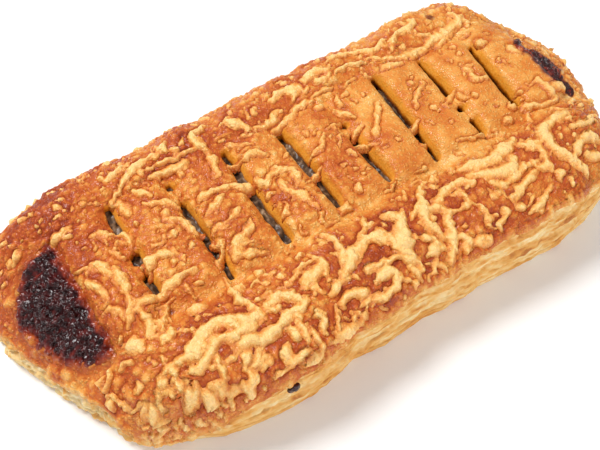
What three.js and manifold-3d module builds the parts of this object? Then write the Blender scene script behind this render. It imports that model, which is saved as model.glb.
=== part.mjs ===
// A cheese-topped puff pastry slice: a flat lower sheet, a filling, and a lid with a
// row of cuts across it, baked together and topped with melted grated cheese.
// Millimetres, +Z up. X runs along the slice, Y across it, and the slice lies on
// z = 0. The origin is under the middle of the slice.
import * as THREE from "three";
import Module from "manifold-3d";

const wasm = await Module();
wasm.setup();

// ---- plan of the slice -------------------------------------------------------
const LEFT_TIP = -93.1; // furthest point of the left end
const RIGHT_TIP = 93; // furthest point of the right end
const HALF_WIDTH = 42; // from the middle line to either long edge
const LEFT_TIP_Y = 15; // where along the left end the tip lies
const RIGHT_TIP_Y = 4;
const LEFT_TAPER_NEAR = 0.45; // how fast the left end draws back towards each side
const LEFT_TAPER_FAR = 0.12;
const RIGHT_TAPER = 0.45;
const TIP_ROUNDING = 8; // the tips are blunt over this distance
// corners: how far each reaches along the slice and across it
const CORNER_NEAR_LEFT = [36, 15];
const CORNER_FAR_LEFT = [12, 11];
const CORNER_NEAR_RIGHT = [14, 11];
const CORNER_FAR_RIGHT = [6, 6];
const FAR_EDGE_DRIFT = 0.024; // the far edge runs slightly outwards to the right
const FAR_EDGE_MIDDLE = 19;
const NEAR_BULGE = 1.2; // the near edge swells here and pinches in there
const NEAR_BULGE_X = 44.5;
const NEAR_BULGE_SPREAD = 26;
const NEAR_PINCH = 1.3;
const NEAR_PINCH_X = -1.5;
const NEAR_PINCH_SPREAD = 17;
const NEAR_BEND_START = -28; // the bends fade in from here to the edge
const FAR_BEND_START = 15;

// ---- heights -----------------------------------------------------------------
const SEAM = 5.2; // top of the lower sheet
const GAP = 0.35; // air between pieces that lie on each other
const FIELD = 24.3; // lid over the filling
const LID_THICKNESS = 5; // of the cut part of the lid
const NEAR_ROLL = 2.4; // the sealed borders puff up over the cut part
const NEAR_ROLL_INSET = 15;
const NEAR_ROLL_SPREAD = 8.5;
const FAR_ROLL = 1.3;
const FAR_ROLL_INSET = 11;
const FAR_ROLL_SPREAD = 7;
const NEAR_CREASE = 1.4; // pressed furrow along the ends of the cuts
const NEAR_CREASE_Y = -14;
const FAR_CREASE = 0.8;
const FAR_CREASE_Y = 23.5;
const CREASE_SPREAD = 3.3;
const NEAR_SHOULDER = [14, 4]; // the crust curves down: over how far, by how much
const FAR_SHOULDER = [12, 7.5];
const LEFT_RIM = 8; // height of the crust at the thin ends
const RIGHT_RIM = 17;
const LEFT_SLOPE = 24; // how far the ends slope
const LEFT_SLOPE_CORNER = 13;
const RIGHT_SLOPE = 17;
const LEFT_ROUNDING = 1.9; // the slopes flatten towards their upper ends
const RIGHT_ROUNDING = 2;
const CORNER_START = -26; // the left slope shortens from here to the near corner
const CORNER_END = -41;
const PILLOW = 1.3; // each strip between two cuts is domed
const PILLOW_SHARE = 0.6; // of the dome that lies over the field
const PILLOW_NEAR = [-17.5, -11.5]; // the domes fade out over these stretches in Y
const PILLOW_FAR = [26.5, 20.5];
const LUMPS = 0.45; // uneven rise of the dough, in waves this long in X and Y
const BROAD_WAVE = [57, 105];
const CROSS_WAVE = [Infinity, 48];
const CROSS_PHASE = 0.9;
const SHORT_WAVE = [27, -37];
const SHORT_PHASE = 2;

// crust edge of the lid, in from the edge of the lower sheet
const LEAN_NEAR = 1.7;
const LEAN_FAR = 1.2;
const LEAN_ENDS = 0.7;

// ---- cuts in the lid, left to right ------------------------------------------
// middle in X, slant in X over the length, near and far ends in Y, and width.
// The first gapes wide open and the last is at the very end of the slice.
const CUTS = [
  { x: -71.3, slant: 0.0, near: -14.8, far: 22.5, width: 3.0, gape: 13.2 },
  { x: -54.7, slant: 0.7, near: -8.6, far: 24.7, width: 2.7 },
  { x: -37.1, slant: -0.3, near: -13.1, far: 21.8, width: 2.6 },
  { x: -19.3, slant: 0.4, near: -12.3, far: 23.7, width: 3.0 },
  { x: -2.0, slant: 0.6, near: -11.2, far: 21.1, width: 3.1 },
  { x: 14.6, slant: 1.2, near: -10.8, far: 20.5, width: 2.7 },
  { x: 31.6, slant: 3.5, near: -12.0, far: 23.2, width: 3.0 },
  { x: 48.3, slant: 3.6, near: -12.4, far: 21.4, width: 2.6 },
  { x: 64.3, slant: 4.1, near: -9.9, far: 17.0, width: 2.8 },
  { x: 80.6, slant: 4.0, near: -12.5, far: 13.5, width: 3.4 },
];
const CUT_END_SHARE = 0.45; // width left at the two ends of a cut
const GAPE_SKEW = 1.4; // it is widest past its middle
const OPENING_ROUNDING = 0.35; // how bluntly a cut ends
const GAPE_ROUNDING = 0.6;
const CLOSED_WIDTH = 1.4; // a cut's lines go on this wide in the uncut border
const LINES_SPREAD = 2.2; // how soon they run straight to the edge

// ---- melted cheese -----------------------------------------------------------
// The largest clumps of grated cheese. Each has one or more runs: its width, then
// plan points along it.
const CHEESE = [
  [[3.6, [-59, -27], [-51, -25], [-47.5, -24], [-42, -27], [-38, -28.3]]],
  [
    [3.2, [-46, -31.1], [-38.2, -33.1], [-33, -31.8], [-27, -31.1]],
    [2.8, [-35.7, -26.9], [-31.5, -25], [-28.6, -28], [-28.5, -31.5]],
  ],
  [[4.6, [-25, -26.6], [-18.5, -25.4]], [2.4, [-18.2, -20.3], [-18.2, -24], [-19, -28.4]]],
  [[3.8, [-14.8, -29.4], [-10, -26.5], [-4.5, -24.6], [1.2, -27.2]]],
  [[3, [-8.9, -34.5], [-4.4, -34.5], [-5.2, -37.9], [-12, -38]]],
  [[3.6, [4.4, -21], [5.6, -25.5], [1.9, -31.6], [2.6, -38]]],
  [[2.8, [18.4, -18.3], [13.7, -24.7], [11.6, -29], [12, -33.2]]],
  [[3.4, [18.4, -25.2], [23, -23.3], [27.4, -23.6], [29.4, -26]]],
  [[3.2, [17.6, -30.1], [15.6, -35.2], [10, -37.9]]],
  [[3.4, [31.2, -19.2], [38, -21.5], [45, -21], [50, -19]]],
  [[3.4, [30.9, -23.8], [36, -26.3], [41, -26.9], [44.4, -25.4]]],
  [
    [3.8, [68.9, -20.9], [61, -21.4], [56.6, -25], [56.8, -31.5], [59.6, -36]],
    [3, [58.2, -34], [63, -31.6], [70.4, -31]],
  ],
  [
    [3, [-64, 8], [-61.2, 2], [-61.2, -6], [-65, -12]],
    [2.8, [-62, -8.2], [-54, -8], [-44.4, -7]],
  ],
  [[2.6, [-43.6, 10.3], [-40.2, 7.6], [-38.2, 2.1]]],
  [
    [3, [-32.5, 11.4], [-27, 11.3], [-19.3, 8.9]],
    [2.6, [-33.9, 5.3], [-28.4, 7.8], [-23.5, 10.3]],
  ],
  [[3.2, [-25, -2.6], [-30.7, -6.2], [-33.9, -9.8]], [1.8, [-31.5, -8], [-26, -12.5]]],
  [
    [2.6, [-16.4, 9.2], [-14.6, 6.9], [-9.8, 8.2], [-6.8, 5.6], [-8.8, 1.2]],
    [2.8, [-11.8, 8.3], [-11.2, 0.5], [-8.4, -7.6]],
  ],
  [[2.8, [19.1, 2.1], [23, 7.4], [27.3, 12.2]]],
  [[2.4, [35.9, 6], [39.6, 9.2], [44.1, 12.8]]],
  [[3.4, [57.5, 8.9], [56.8, 5.4], [59.9, 3.1]]],
  [[2.5, [-52.5, 24], [-45.7, 28.5], [-38.8, 31.2], [-35.7, 30.3]]],
  [[3.4, [-39.3, 24.9], [-34, 24.2], [-29.6, 24.6]]],
  [[2.6, [-22.9, 24.9], [-23.8, 31], [-18.6, 34.2]]],
  [[3.6, [-12.1, 31.7], [-9.3, 26]]],
  [[2.6, [-3.2, 21.4], [4, 23.6], [12.3, 24.9]]],
  [[2.4, [23.7, 33.9], [32.5, 34.2], [39.6, 30.3], [44.1, 32.6]]],
  [[3.8, [46.4, 24.2], [57.5, 24.7], [71, 27]]],
];
const CHEESE_STEP = 3.4; // along a run
const CHEESE_HEIGHT = 0.58; // of its width
const CHEESE_TIP = 0.42; // width left at the ends of a run
const CHEESE_GAP = 0.32; // air between a clump and the crust
const CHEESE_PROBES = [0, 0.25, 0.5, 0.75, 1]; // where the gap is measured
// section of a run: across and up, as shares of width and height
const CHEESE_SECTION = [
  [0.5, 0],
  [-0.5, 0],
  [-0.34, 0.78],
  [0, 1],
  [0.34, 0.78],
];

// ---- mesh steps --------------------------------------------------------------
const NEAR_ROWS = [0, 0.035, 0.13, 0.28, 0.46, 0.66, 0.84, 1]; // edge to cuts
const CUT_ROWS = [0, 0.08, 0.3, 0.5, 0.7, 0.92, 1];
const FAR_ROWS = [0, 0.2, 0.42, 0.64, 0.84, 0.96, 1];
const END_STEPS = 4; // columns between a tip and its nearest cut
const STRIP_STEPS = 3; // columns on each strip
const GAPE_STEPS = 2; // columns across the open cut
const HALF = 2;

const clamp = (v, lo, hi) => Math.min(Math.max(v, lo), hi);
const mix = (a, b, t) => a + (b - a) * t;
const bell = (d, spread) => Math.exp(-((d / spread) ** 2));
const wave = (x, y, [lengthX, lengthY], phase) =>
  Math.sin(2 * Math.PI * (x / lengthX + y / lengthY) + phase);
const smooth = (a, b, v) => {
  const t = clamp((v - a) / (b - a), 0, 1);
  return t * t * (3 - 2 * t);
};

// how far a rounded corner draws the end in at y; side is -1 near and 1 far
function cornerCut(y, side, halfWidth, [along, across]) {
  const t = clamp((y * side - (halfWidth - across)) / across, 0, 1);
  return along * (1 - Math.sqrt(1 - t * t));
}

function taper(y, tipY, rate) {
  return rate * (Math.hypot(y - tipY, TIP_ROUNDING) - TIP_ROUNDING);
}

// ends of the plan at y, for a plan drawn in by inset
function leftEnd(y, inset, halfWidth) {
  const rate = y < LEFT_TIP_Y ? LEFT_TAPER_NEAR : LEFT_TAPER_FAR;
  return (
    LEFT_TIP + inset + taper(y, LEFT_TIP_Y, rate)
    + cornerCut(y, -1, halfWidth, CORNER_NEAR_LEFT)
    + cornerCut(y, 1, halfWidth, CORNER_FAR_LEFT)
  );
}

function rightEnd(y, inset, halfWidth) {
  return (
    RIGHT_TIP - inset - taper(y, RIGHT_TIP_Y, RIGHT_TAPER)
    - cornerCut(y, -1, halfWidth, CORNER_NEAR_RIGHT)
    - cornerCut(y, 1, halfWidth, CORNER_FAR_RIGHT)
  );
}

// the slow bends of the two long edges
function bend(x, y) {
  const near = smooth(NEAR_BEND_START, -HALF_WIDTH, y);
  const far = smooth(FAR_BEND_START, HALF_WIDTH, y);
  return (
    y + far * FAR_EDGE_DRIFT * (x - FAR_EDGE_MIDDLE)
    - near * NEAR_BULGE * bell(x - NEAR_BULGE_X, NEAR_BULGE_SPREAD)
    + near * NEAR_PINCH * bell(x - NEAR_PINCH_X, NEAR_PINCH_SPREAD)
  );
}

// a value that each cut names, read off between the cuts at x
function betweenCuts(x, key) {
  const last = CUTS.length - 1;
  if (x <= CUTS[0].x) return CUTS[0][key];
  for (let i = 0; i < last; i++) {
    const [a, b] = [CUTS[i], CUTS[i + 1]];
    if (x <= b.x) return mix(a[key], b[key], (x - a.x) / (b.x - a.x));
  }
  return CUTS[last][key];
}

// left and right edge of a cut at y
function cutEdges(cut, y) {
  const along = (y - cut.near) / (cut.far - cut.near);
  const middle = cut.x + cut.slant * (clamp(along, 0, 1) - 0.5);
  const t = clamp(along, 0, 1);
  const open = Math.sin(Math.PI * t) ** OPENING_ROUNDING;
  const inside = along >= 0 && along <= 1;
  const half = inside
    ? (cut.width / HALF) * mix(CUT_END_SHARE, 1, open)
    : (cut.width / HALF) * CUT_END_SHARE;
  const gape = inside && cut.gape
    ? cut.gape * Math.sin(Math.PI * t ** GAPE_SKEW) ** GAPE_ROUNDING : 0;
  return [middle - half - gape, middle + half];
}

// 0 on a cut's lines and 1 along the middle of a strip
function acrossStrip(x, y) {
  for (let i = 0; i < CUTS.length - 1; i++) {
    const a = cutEdges(CUTS[i], y)[1];
    const b = cutEdges(CUTS[i + 1], y)[0];
    if (x >= a && x <= b) {
      const t = (x - a) / (b - a);
      return 1 - (2 * t - 1) ** 4;
    }
  }
  return 0;
}

// height of the lid's crust
function crust(x, y) {
  const fromNear = y + HALF_WIDTH;
  const fromFar = HALF_WIDTH - y;
  let z = FIELD;
  z += NEAR_ROLL * bell(fromNear - NEAR_ROLL_INSET, NEAR_ROLL_SPREAD);
  z += FAR_ROLL * bell(fromFar - FAR_ROLL_INSET, FAR_ROLL_SPREAD);
  z -= NEAR_CREASE * bell(y - NEAR_CREASE_Y, CREASE_SPREAD);
  z -= FAR_CREASE * bell(y - FAR_CREASE_Y, CREASE_SPREAD);
  for (const [distance, [over, drop]] of [
    [fromNear, NEAR_SHOULDER],
    [fromFar, FAR_SHOULDER],
  ]) {
    const t = 1 - clamp(distance / over, 0, 1);
    z -= drop * (1 - Math.sqrt(1 - t * t));
  }
  const inCuts = smooth(...PILLOW_NEAR, y) * smooth(...PILLOW_FAR, y);
  z += inCuts * PILLOW * (acrossStrip(x, y) - PILLOW_SHARE);
  z += LUMPS * wave(x, y, BROAD_WAVE, 0) * wave(x, y, CROSS_WAVE, CROSS_PHASE);
  z += LUMPS * wave(x, y, SHORT_WAVE, SHORT_PHASE);
  const corner = smooth(CORNER_START, CORNER_END, y);
  const leftOver = mix(LEFT_SLOPE, LEFT_SLOPE_CORNER, corner);
  const left = clamp((x - leftEnd(y, 0, HALF_WIDTH)) / leftOver, 0, 1);
  const right = clamp((rightEnd(y, 0, HALF_WIDTH) - x) / RIGHT_SLOPE, 0, 1);
  z = mix(LEFT_RIM, z, 1 - (1 - left) ** LEFT_ROUNDING);
  return mix(RIGHT_RIM, z, 1 - (1 - right) ** RIGHT_ROUNDING);
}

// ---- the grid that the lid and the filling share -----------------------------
// columns: which stretch between two lines of cuts, and how far across it
const columns = [];
const cutStart = []; // first column of each cut
for (let k = 0; k < END_STEPS; k++) columns.push([0, k / END_STEPS]);
CUTS.forEach((cut, i) => {
  const steps = cut.gape ? GAPE_STEPS : 1;
  cutStart.push(columns.length);
  for (let k = 0; k < steps; k++) columns.push([2 * i + 1, k / steps]);
  const after = i === CUTS.length - 1 ? END_STEPS : STRIP_STEPS;
  for (let k = 0; k < after; k++) columns.push([2 * i + 2, k / after]);
});
columns.push([2 * CUTS.length, 1]);
const rows = [
  ...NEAR_ROWS.slice(0, -1).map((t) => [0, t]),
  ...CUT_ROWS.slice(0, -1).map((t) => [1, t]),
  ...FAR_ROWS.map((t) => [2, t]),
];
const FIRST_CUT_ROW = NEAR_ROWS.length - 1;
const LAST_CUT_ROW = FIRST_CUT_ROW + CUT_ROWS.length - 1;

const isOpen = (c, r) =>
  r >= FIRST_CUT_ROW && r < LAST_CUT_ROW
  && cutStart.some((start, i) => c >= start && c < start + (CUTS[i].gape ? GAPE_STEPS : 1));

// lines across the plan at y: the left end, both edges of each cut, the right end
function linesAt(y, ends) {
  const [left, right] = ends(y);
  const [left0, right0] = ends(0);
  const cutLines = CUTS.flatMap((cut) => cutEdges(cut, y));
  const spread = CUTS.flatMap((cut) => [cut.x - CLOSED_WIDTH / HALF, cut.x + CLOSED_WIDTH / HALF])
    .map((x) => mix(left, right, (x - left0) / (right0 - left0)));
  return { left, right, cutLines, spread };
}

// plan position of grid point (c, r), for a plan drawn in at the sides
function gridPoint(c, r, insets) {
  const nearEdge = insets.near - HALF_WIDTH;
  const farEdge = HALF_WIDTH - insets.far;
  const ends = (y) => {
    const half = y < 0 ? -nearEdge : farEdge;
    return [leftEnd(y, insets.ends, half), rightEnd(y, insets.ends, half)];
  };
  const [stretch, across] = columns[c];
  const cutMiddles = [LEFT_TIP, ...CUTS.flatMap((k) => [k.x, k.x]), RIGHT_TIP];
  const nominal = mix(cutMiddles[stretch], cutMiddles[stretch + 1], across);
  const near = betweenCuts(nominal, "near");
  const far = betweenCuts(nominal, "far");
  const [zone, t] = rows[r];
  const [from, to] = [[nearEdge, near], [near, far], [far, farEdge]][zone];
  const y = mix(from, to, t);
  const { left, right, cutLines, spread } = linesAt(y, ends);
  const free = zone === 0
    ? smooth(0, 1, (near - y) / (near - nearEdge))
    : zone === 2 ? smooth(0, 1, (y - far) / (farEdge - far)) : 0;
  const blend = clamp(free * LINES_SPREAD, 0, 1);
  const knots = [left, ...cutLines.map((x, i) => mix(x, spread[i], blend)), right];
  const x = mix(knots[stretch], knots[stretch + 1], across);
  return [x, bend(x, y), y];
}

// ---- closed solids from shared grid points -----------------------------------
class Solid {
  constructor() {
    this.points = [];
    this.faces = [];
  }

  point(x, y, z) {
    this.points.push(x, y, z);
    return this.points.length / 3 - 1;
  }

  quad(a, b, c, d) {
    this.faces.push(a, b, c, a, c, d);
  }

  geometry() {
    const g = new THREE.BufferGeometry();
    g.setAttribute("position", new THREE.Float32BufferAttribute(this.points, 3));
    g.setIndex(this.faces);
    g.computeVertexNormals();
    return g;
  }
}

// the closed loop of grid points round the plan, anticlockwise from above
function rimLoop(firstC, lastC, firstR, lastR) {
  const loop = [];
  for (let c = firstC; c < lastC; c++) loop.push([c, firstR]);
  for (let r = firstR; r < lastR; r++) loop.push([lastC, r]);
  for (let c = lastC; c > firstC; c--) loop.push([c, lastR]);
  for (let r = lastR; r > firstR; r--) loop.push([firstC, r]);
  return loop;
}

// outward direction in plan at each point of a loop
function loopNormals(loop) {
  const n = loop.length;
  return loop.map((_, i) => {
    const a = loop[(i + n - 1) % n];
    const b = loop[(i + 1) % n];
    const [dx, dy] = [b[0] - a[0], b[1] - a[1]];
    const size = Math.hypot(dx, dy);
    return [dy / size, -dx / size];
  });
}

const crustInsets = { near: LEAN_NEAR, far: LEAN_FAR, ends: LEAN_ENDS };
const footInsets = { near: GAP, far: GAP, ends: GAP };
const sheetInsets = { near: 0, far: 0, ends: 0 };
const LAST_C = columns.length - 1;
const LAST_R = rows.length - 1;

// underside of the lid: hollow over the filling, down to the seam at the borders
const HOLLOW_FIRST_R = FIRST_CUT_ROW - 1;
const HOLLOW_LAST_R = LAST_CUT_ROW + 1;
const HOLLOW_FIRST_C = END_STEPS - 1;
const HOLLOW_LAST_C = cutStart[CUTS.length - 1] + HALF;
const inHollow = (c, r) =>
  r >= HOLLOW_FIRST_R && r <= HOLLOW_LAST_R && c >= HOLLOW_FIRST_C && c <= HOLLOW_LAST_C;
const topGrid = columns.map((_, c) => rows.map((__, r) => {
  const [x, y, flatY] = gridPoint(c, r, crustInsets);
  return [x, y, crust(x, flatY)];
}));
const underGrid = columns.map((_, c) => rows.map((__, r) => {
  const [x, y] = gridPoint(c, r, inHollow(c, r) ? crustInsets : footInsets);
  return [x, y, inHollow(c, r) ? topGrid[c][r][2] - LID_THICKNESS : SEAM + GAP];
}));

// the lid's side under the crust edge: share of the way down, and out from the
// straight line where the side is this high
const FULL_SIDE = 14;
const LEAST_REACH = 0.15;
const LID_SIDE = [
  [0.07, 0.5],
  [0.24, -1.0],
  [0.5, 0.3],
  [0.72, -0.5],
  [0.9, 0.6],
];

function lid() {
  const s = new Solid();
  const top = topGrid.map((col) => col.map((p) => s.point(...p)));
  const under = underGrid.map((col) => col.map((p) => s.point(...p)));
  for (let c = 0; c < LAST_C; c++) {
    for (let r = 0; r < LAST_R; r++) {
      if (isOpen(c, r)) continue;
      s.quad(top[c][r], top[c + 1][r], top[c + 1][r + 1], top[c][r + 1]);
      s.quad(under[c][r], under[c][r + 1], under[c + 1][r + 1], under[c + 1][r]);
      if (isOpen(c - 1, r)) s.quad(top[c][r], top[c][r + 1], under[c][r + 1], under[c][r]);
      if (isOpen(c + 1, r)) {
        s.quad(top[c + 1][r + 1], top[c + 1][r], under[c + 1][r], under[c + 1][r + 1]);
      }
      if (isOpen(c, r - 1)) s.quad(top[c + 1][r], top[c][r], under[c][r], under[c + 1][r]);
      if (isOpen(c, r + 1)) {
        s.quad(top[c][r + 1], top[c + 1][r + 1], under[c + 1][r + 1], under[c][r + 1]);
      }
    }
  }
  const loop = rimLoop(0, LAST_C, 0, LAST_R);
  const normals = loopNormals(loop.map(([c, r]) => underGrid[c][r]));
  const rings = [loop.map(([c, r]) => top[c][r])];
  for (const [share, out] of LID_SIDE) {
    rings.push(loop.map(([c, r], i) => {
      const a = topGrid[c][r];
      const b = underGrid[c][r];
      const reach = out * clamp((a[2] - b[2]) / FULL_SIDE, LEAST_REACH, 1);
      return s.point(
        mix(a[0], b[0], share) + normals[i][0] * reach,
        mix(a[1], b[1], share) + normals[i][1] * reach,
        mix(a[2], b[2], share),
      );
    }));
  }
  rings.push(loop.map(([c, r]) => under[c][r]));
  joinRings(s, rings);
  return s.geometry();
}

// walls between rings of points that run anticlockwise, from the top ring down
function joinRings(s, rings) {
  for (let k = 0; k + 1 < rings.length; k++) {
    const [upper, lower] = [rings[k], rings[k + 1]];
    upper.forEach((_, i) => {
      const j = (i + 1) % upper.length;
      s.quad(upper[i], lower[i], lower[j], upper[j]);
    });
  }
}

// lower sheet: in or out from its edge, at each height
const SHEET_SIDE = [
  [-0.3, SEAM],
  [0.1, 4.4],
  [-0.2, 3.3],
  [0.2, 2.0],
  [-0.2, 0.7],
  [-1.8, 0],
];

function lowerSheet() {
  const s = new Solid();
  const loop = rimLoop(0, LAST_C, 0, LAST_R);
  const edge = loop.map(([c, r]) => gridPoint(c, r, sheetInsets));
  const normals = loopNormals(edge);
  const rings = SHEET_SIDE.map(([out, z]) => edge.map(([x, y], i) =>
    s.point(x + normals[i][0] * out, y + normals[i][1] * out, z)));
  joinRings(s, rings);
  // both faces are flat: each is closed by strips between its near and far edge
  const at = (ring, c, r) => {
    const i = loop.findIndex(([a, b]) => a === c && b === r);
    return ring[i];
  };
  for (const [ring, up] of [[rings[0], true], [rings[rings.length - 1], false]]) {
    const quad = (a, b, c, d) => (up ? s.quad(a, b, c, d) : s.quad(d, c, b, a));
    for (let c = 0; c < LAST_C; c++) {
      quad(at(ring, c, 0), at(ring, c + 1, 0), at(ring, c + 1, LAST_R), at(ring, c, LAST_R));
    }
    for (const [c, right] of [[0, false], [LAST_C, true]]) {
      const pts = rows.map((_, r) => at(ring, c, r));
      for (let r = 1; r + 1 < pts.length; r++) {
        const outer = [pts[0], pts[r], pts[r + 1]];
        if (up !== right) outer.reverse();
        s.faces.push(...outer);
      }
    }
  }
  return s.geometry();
}

// the filling lies in the lid's hollow and wells up in the open cut
const FILLING_RISE = 3.2;

function filling() {
  const s = new Solid();
  const [c0, c1, r0, r1] = [HOLLOW_FIRST_C, HOLLOW_LAST_C, HOLLOW_FIRST_R, HOLLOW_LAST_R];
  const top = [];
  for (let c = c0; c <= c1; c++) {
    top.push(rows.map((_, r) => {
      if (r < r0 || r > r1) return null;
      const [x, y, z] = underGrid[c][r];
      const welled = c === cutStart[0] + 1 && r > FIRST_CUT_ROW && r < LAST_CUT_ROW;
      return s.point(x, y, z - GAP + (welled ? FILLING_RISE : 0));
    }));
  }
  for (let c = 0; c < c1 - c0; c++) {
    for (let r = r0; r < r1; r++) {
      s.quad(top[c][r], top[c + 1][r], top[c + 1][r + 1], top[c][r + 1]);
    }
  }
  const loop = rimLoop(c0, c1, r0, r1);
  const foot = loop.map(([c, r]) => s.point(underGrid[c][r][0], underGrid[c][r][1], SEAM + GAP));
  joinRings(s, [loop.map(([c, r]) => top[c - c0][r]), foot]);
  const at = (c, r) => foot[loop.findIndex(([a, b]) => a === c && b === r)];
  for (let c = c0; c < c1; c++) s.quad(at(c, r1), at(c + 1, r1), at(c + 1, r0), at(c, r0));
  for (const [c, right] of [[c0, false], [c1, true]]) {
    for (let r = r0 + 1; r < r1; r++) {
      const face = [at(c, r0), at(c, r), at(c, r + 1)];
      if (right) face.reverse();
      s.faces.push(...face);
    }
  }
  return s.geometry();
}

// height of the lid's facets at a plan point; open cuts count as spanned
const EDGE_MARGIN = 1e-9;
function spannedHeight(x, y) {
  const inside = (a, b, c) => {
    const area = (b[0] - a[0]) * (c[1] - a[1]) - (c[0] - a[0]) * (b[1] - a[1]);
    const u = ((x - a[0]) * (c[1] - a[1]) - (c[0] - a[0]) * (y - a[1])) / area;
    const v = ((b[0] - a[0]) * (y - a[1]) - (x - a[0]) * (b[1] - a[1])) / area;
    if (Math.min(u, v, 1 - u - v) < -EDGE_MARGIN) return null;
    return a[2] + u * (b[2] - a[2]) + v * (c[2] - a[2]);
  };
  for (let c = 0; c < LAST_C; c++) {
    for (let r = 0; r < LAST_R; r++) {
      const [p, q] = [topGrid[c][r], topGrid[c + 1][r + 1]];
      const z = inside(p, topGrid[c + 1][r], q) ?? inside(p, q, topGrid[c][r + 1]);
      if (z !== null) return z;
    }
  }
  throw new Error(`cheese lies beside the crust at ${x}, ${y}`);
}

// one run of cheese: a low rounded ridge lying on the crust
function cheeseRun([width, ...plan]) {
  const onPlan = plan.map(([x, y]) => new THREE.Vector3(x, bend(x, y), 0));
  const route = new THREE.CatmullRomCurve3(onPlan);
  const steps = Math.max(2, Math.round(route.getLength() / CHEESE_STEP));
  const stations = Array.from({ length: steps + 1 }, (_, i) => {
    const at = route.getPointAt(i / steps);
    const along = route.getTangentAt(i / steps);
    const size = i === 0 || i === steps ? CHEESE_TIP : 1;
    const side = (across) => [
      at.x - along.y * across * width * size,
      at.y + along.x * across * width * size,
    ];
    return { side, size, lift: 0 };
  });
  // the crust may bulge under the flat bottom, so both rings of a stretch are lifted
  const [[leftShare], [rightShare]] = CHEESE_SECTION;
  const clearance = (a, b, along, over) => {
    const across = mix(rightShare, leftShare, over);
    const [p, q] = [a.side(across), b.side(across)];
    const bottom = ({ side, lift }) =>
      mix(spannedHeight(...side(rightShare)), spannedHeight(...side(leftShare)), over) + lift;
    const under = spannedHeight(mix(p[0], q[0], along), mix(p[1], q[1], along));
    return mix(bottom(a), bottom(b), along) - under;
  };
  for (let i = 0; i < steps; i++) {
    const [a, b] = [stations[i], stations[i + 1]];
    const least = Math.min(0, ...CHEESE_PROBES.flatMap((over) =>
      CHEESE_PROBES.map((along) => clearance(a, b, along, over))));
    a.lift -= least;
    b.lift -= least;
  }
  const s = new Solid();
  const rings = stations.map(({ side, size, lift }) => CHEESE_SECTION.map(([across, up]) => {
    const [x, y] = side(across);
    const rise = CHEESE_GAP + lift + up * CHEESE_HEIGHT * width * size;
    return s.point(x, y, spannedHeight(x, y) + rise);
  }));
  const n = CHEESE_SECTION.length;
  for (let i = 0; i < steps; i++) {
    for (let k = 0; k < n; k++) {
      const j = (k + 1) % n;
      s.quad(rings[i][j], rings[i][k], rings[i + 1][k], rings[i + 1][j]);
    }
  }
  const last = rings[steps];
  for (let k = 1; k + 1 < n; k++) {
    s.faces.push(rings[0][0], rings[0][k], rings[0][k + 1]);
    s.faces.push(last[0], last[k + 1], last[k]);
  }
  return s;
}

// crossing runs have melted into one clump
function cheeseClump(runs) {
  const solids = runs.map(cheeseRun).map(({ points, faces }) => {
    const vertProperties = new Float32Array(points);
    const triVerts = new Uint32Array(faces);
    return new wasm.Manifold(new wasm.Mesh({ numProp: 3, vertProperties, triVerts }));
  });
  const mesh = solids.reduce((a, b) => a.add(b)).getMesh();
  const s = new Solid();
  s.points = Array.from(mesh.vertProperties);
  s.faces = Array.from(mesh.triVerts);
  return s.geometry();
}

const pastry = new THREE.Group();

function addPiece(name, geometry, colour, roughness) {
  const material = new THREE.MeshStandardMaterial({ color: colour, roughness, metalness: 0 });
  const mesh = new THREE.Mesh(geometry, material);
  mesh.name = name;
  pastry.add(mesh);
}

addPiece("base_pastry", lowerSheet(), 0xd9b377, 0.75);
addPiece("filling", filling(), 0x6f5a4c, 0.5);
addPiece("lid_pastry", lid(), 0xc8762f, 0.55);
CHEESE.forEach((runs, i) => {
  addPiece(`cheese_${String(i + 1).padStart(2, "0")}`, cheeseClump(runs), 0xf2c47a, 0.45);
});

export default pastry;
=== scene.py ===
"""A baked cheese pastry slice: flaky puff pastry, a row of cuts and melted cheese.

The slice lies on z = 0 with its length along X. Every shape is worked out in
millimetres on the plan of the slice, and handed to Blender in metres.
"""

from collections import namedtuple
from functools import lru_cache
from itertools import product

import bpy
import numpy as np
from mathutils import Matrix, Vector


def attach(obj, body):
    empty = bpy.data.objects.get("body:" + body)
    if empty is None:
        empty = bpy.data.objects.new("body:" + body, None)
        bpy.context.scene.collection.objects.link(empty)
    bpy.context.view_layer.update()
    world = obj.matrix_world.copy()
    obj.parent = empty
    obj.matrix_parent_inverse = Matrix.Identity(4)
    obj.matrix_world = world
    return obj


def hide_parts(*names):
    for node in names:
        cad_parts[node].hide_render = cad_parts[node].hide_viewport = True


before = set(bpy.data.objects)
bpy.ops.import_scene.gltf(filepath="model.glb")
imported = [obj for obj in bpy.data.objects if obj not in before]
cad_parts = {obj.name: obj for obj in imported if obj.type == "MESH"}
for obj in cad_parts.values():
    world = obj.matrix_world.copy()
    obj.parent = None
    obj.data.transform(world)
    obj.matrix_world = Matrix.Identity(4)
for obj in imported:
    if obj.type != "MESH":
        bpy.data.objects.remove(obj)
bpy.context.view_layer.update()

bl_info = {
    "name": "Cheese Pastry Slice",
    "version": (1, 0, 0),
    "blender": (4, 5, 0),
    "location": "3D View > Sidebar > Pastry",
    "description": "Builds a baked cheese pastry slice piece by piece",
    "category": "Add Mesh",
}

MM = 0.001

# ---- plan of the slice, in millimetres -----------------------------------------
LEFT_TIP, RIGHT_TIP, HALF_WIDTH = -93.1, 93.0, 42.0
LEFT_TIP_Y, RIGHT_TIP_Y = 15.0, 4.0
LEFT_TAPER_NEAR, LEFT_TAPER_FAR, RIGHT_TAPER = 0.45, 0.12, 0.45
TIP_ROUNDING = 8.0
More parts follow.
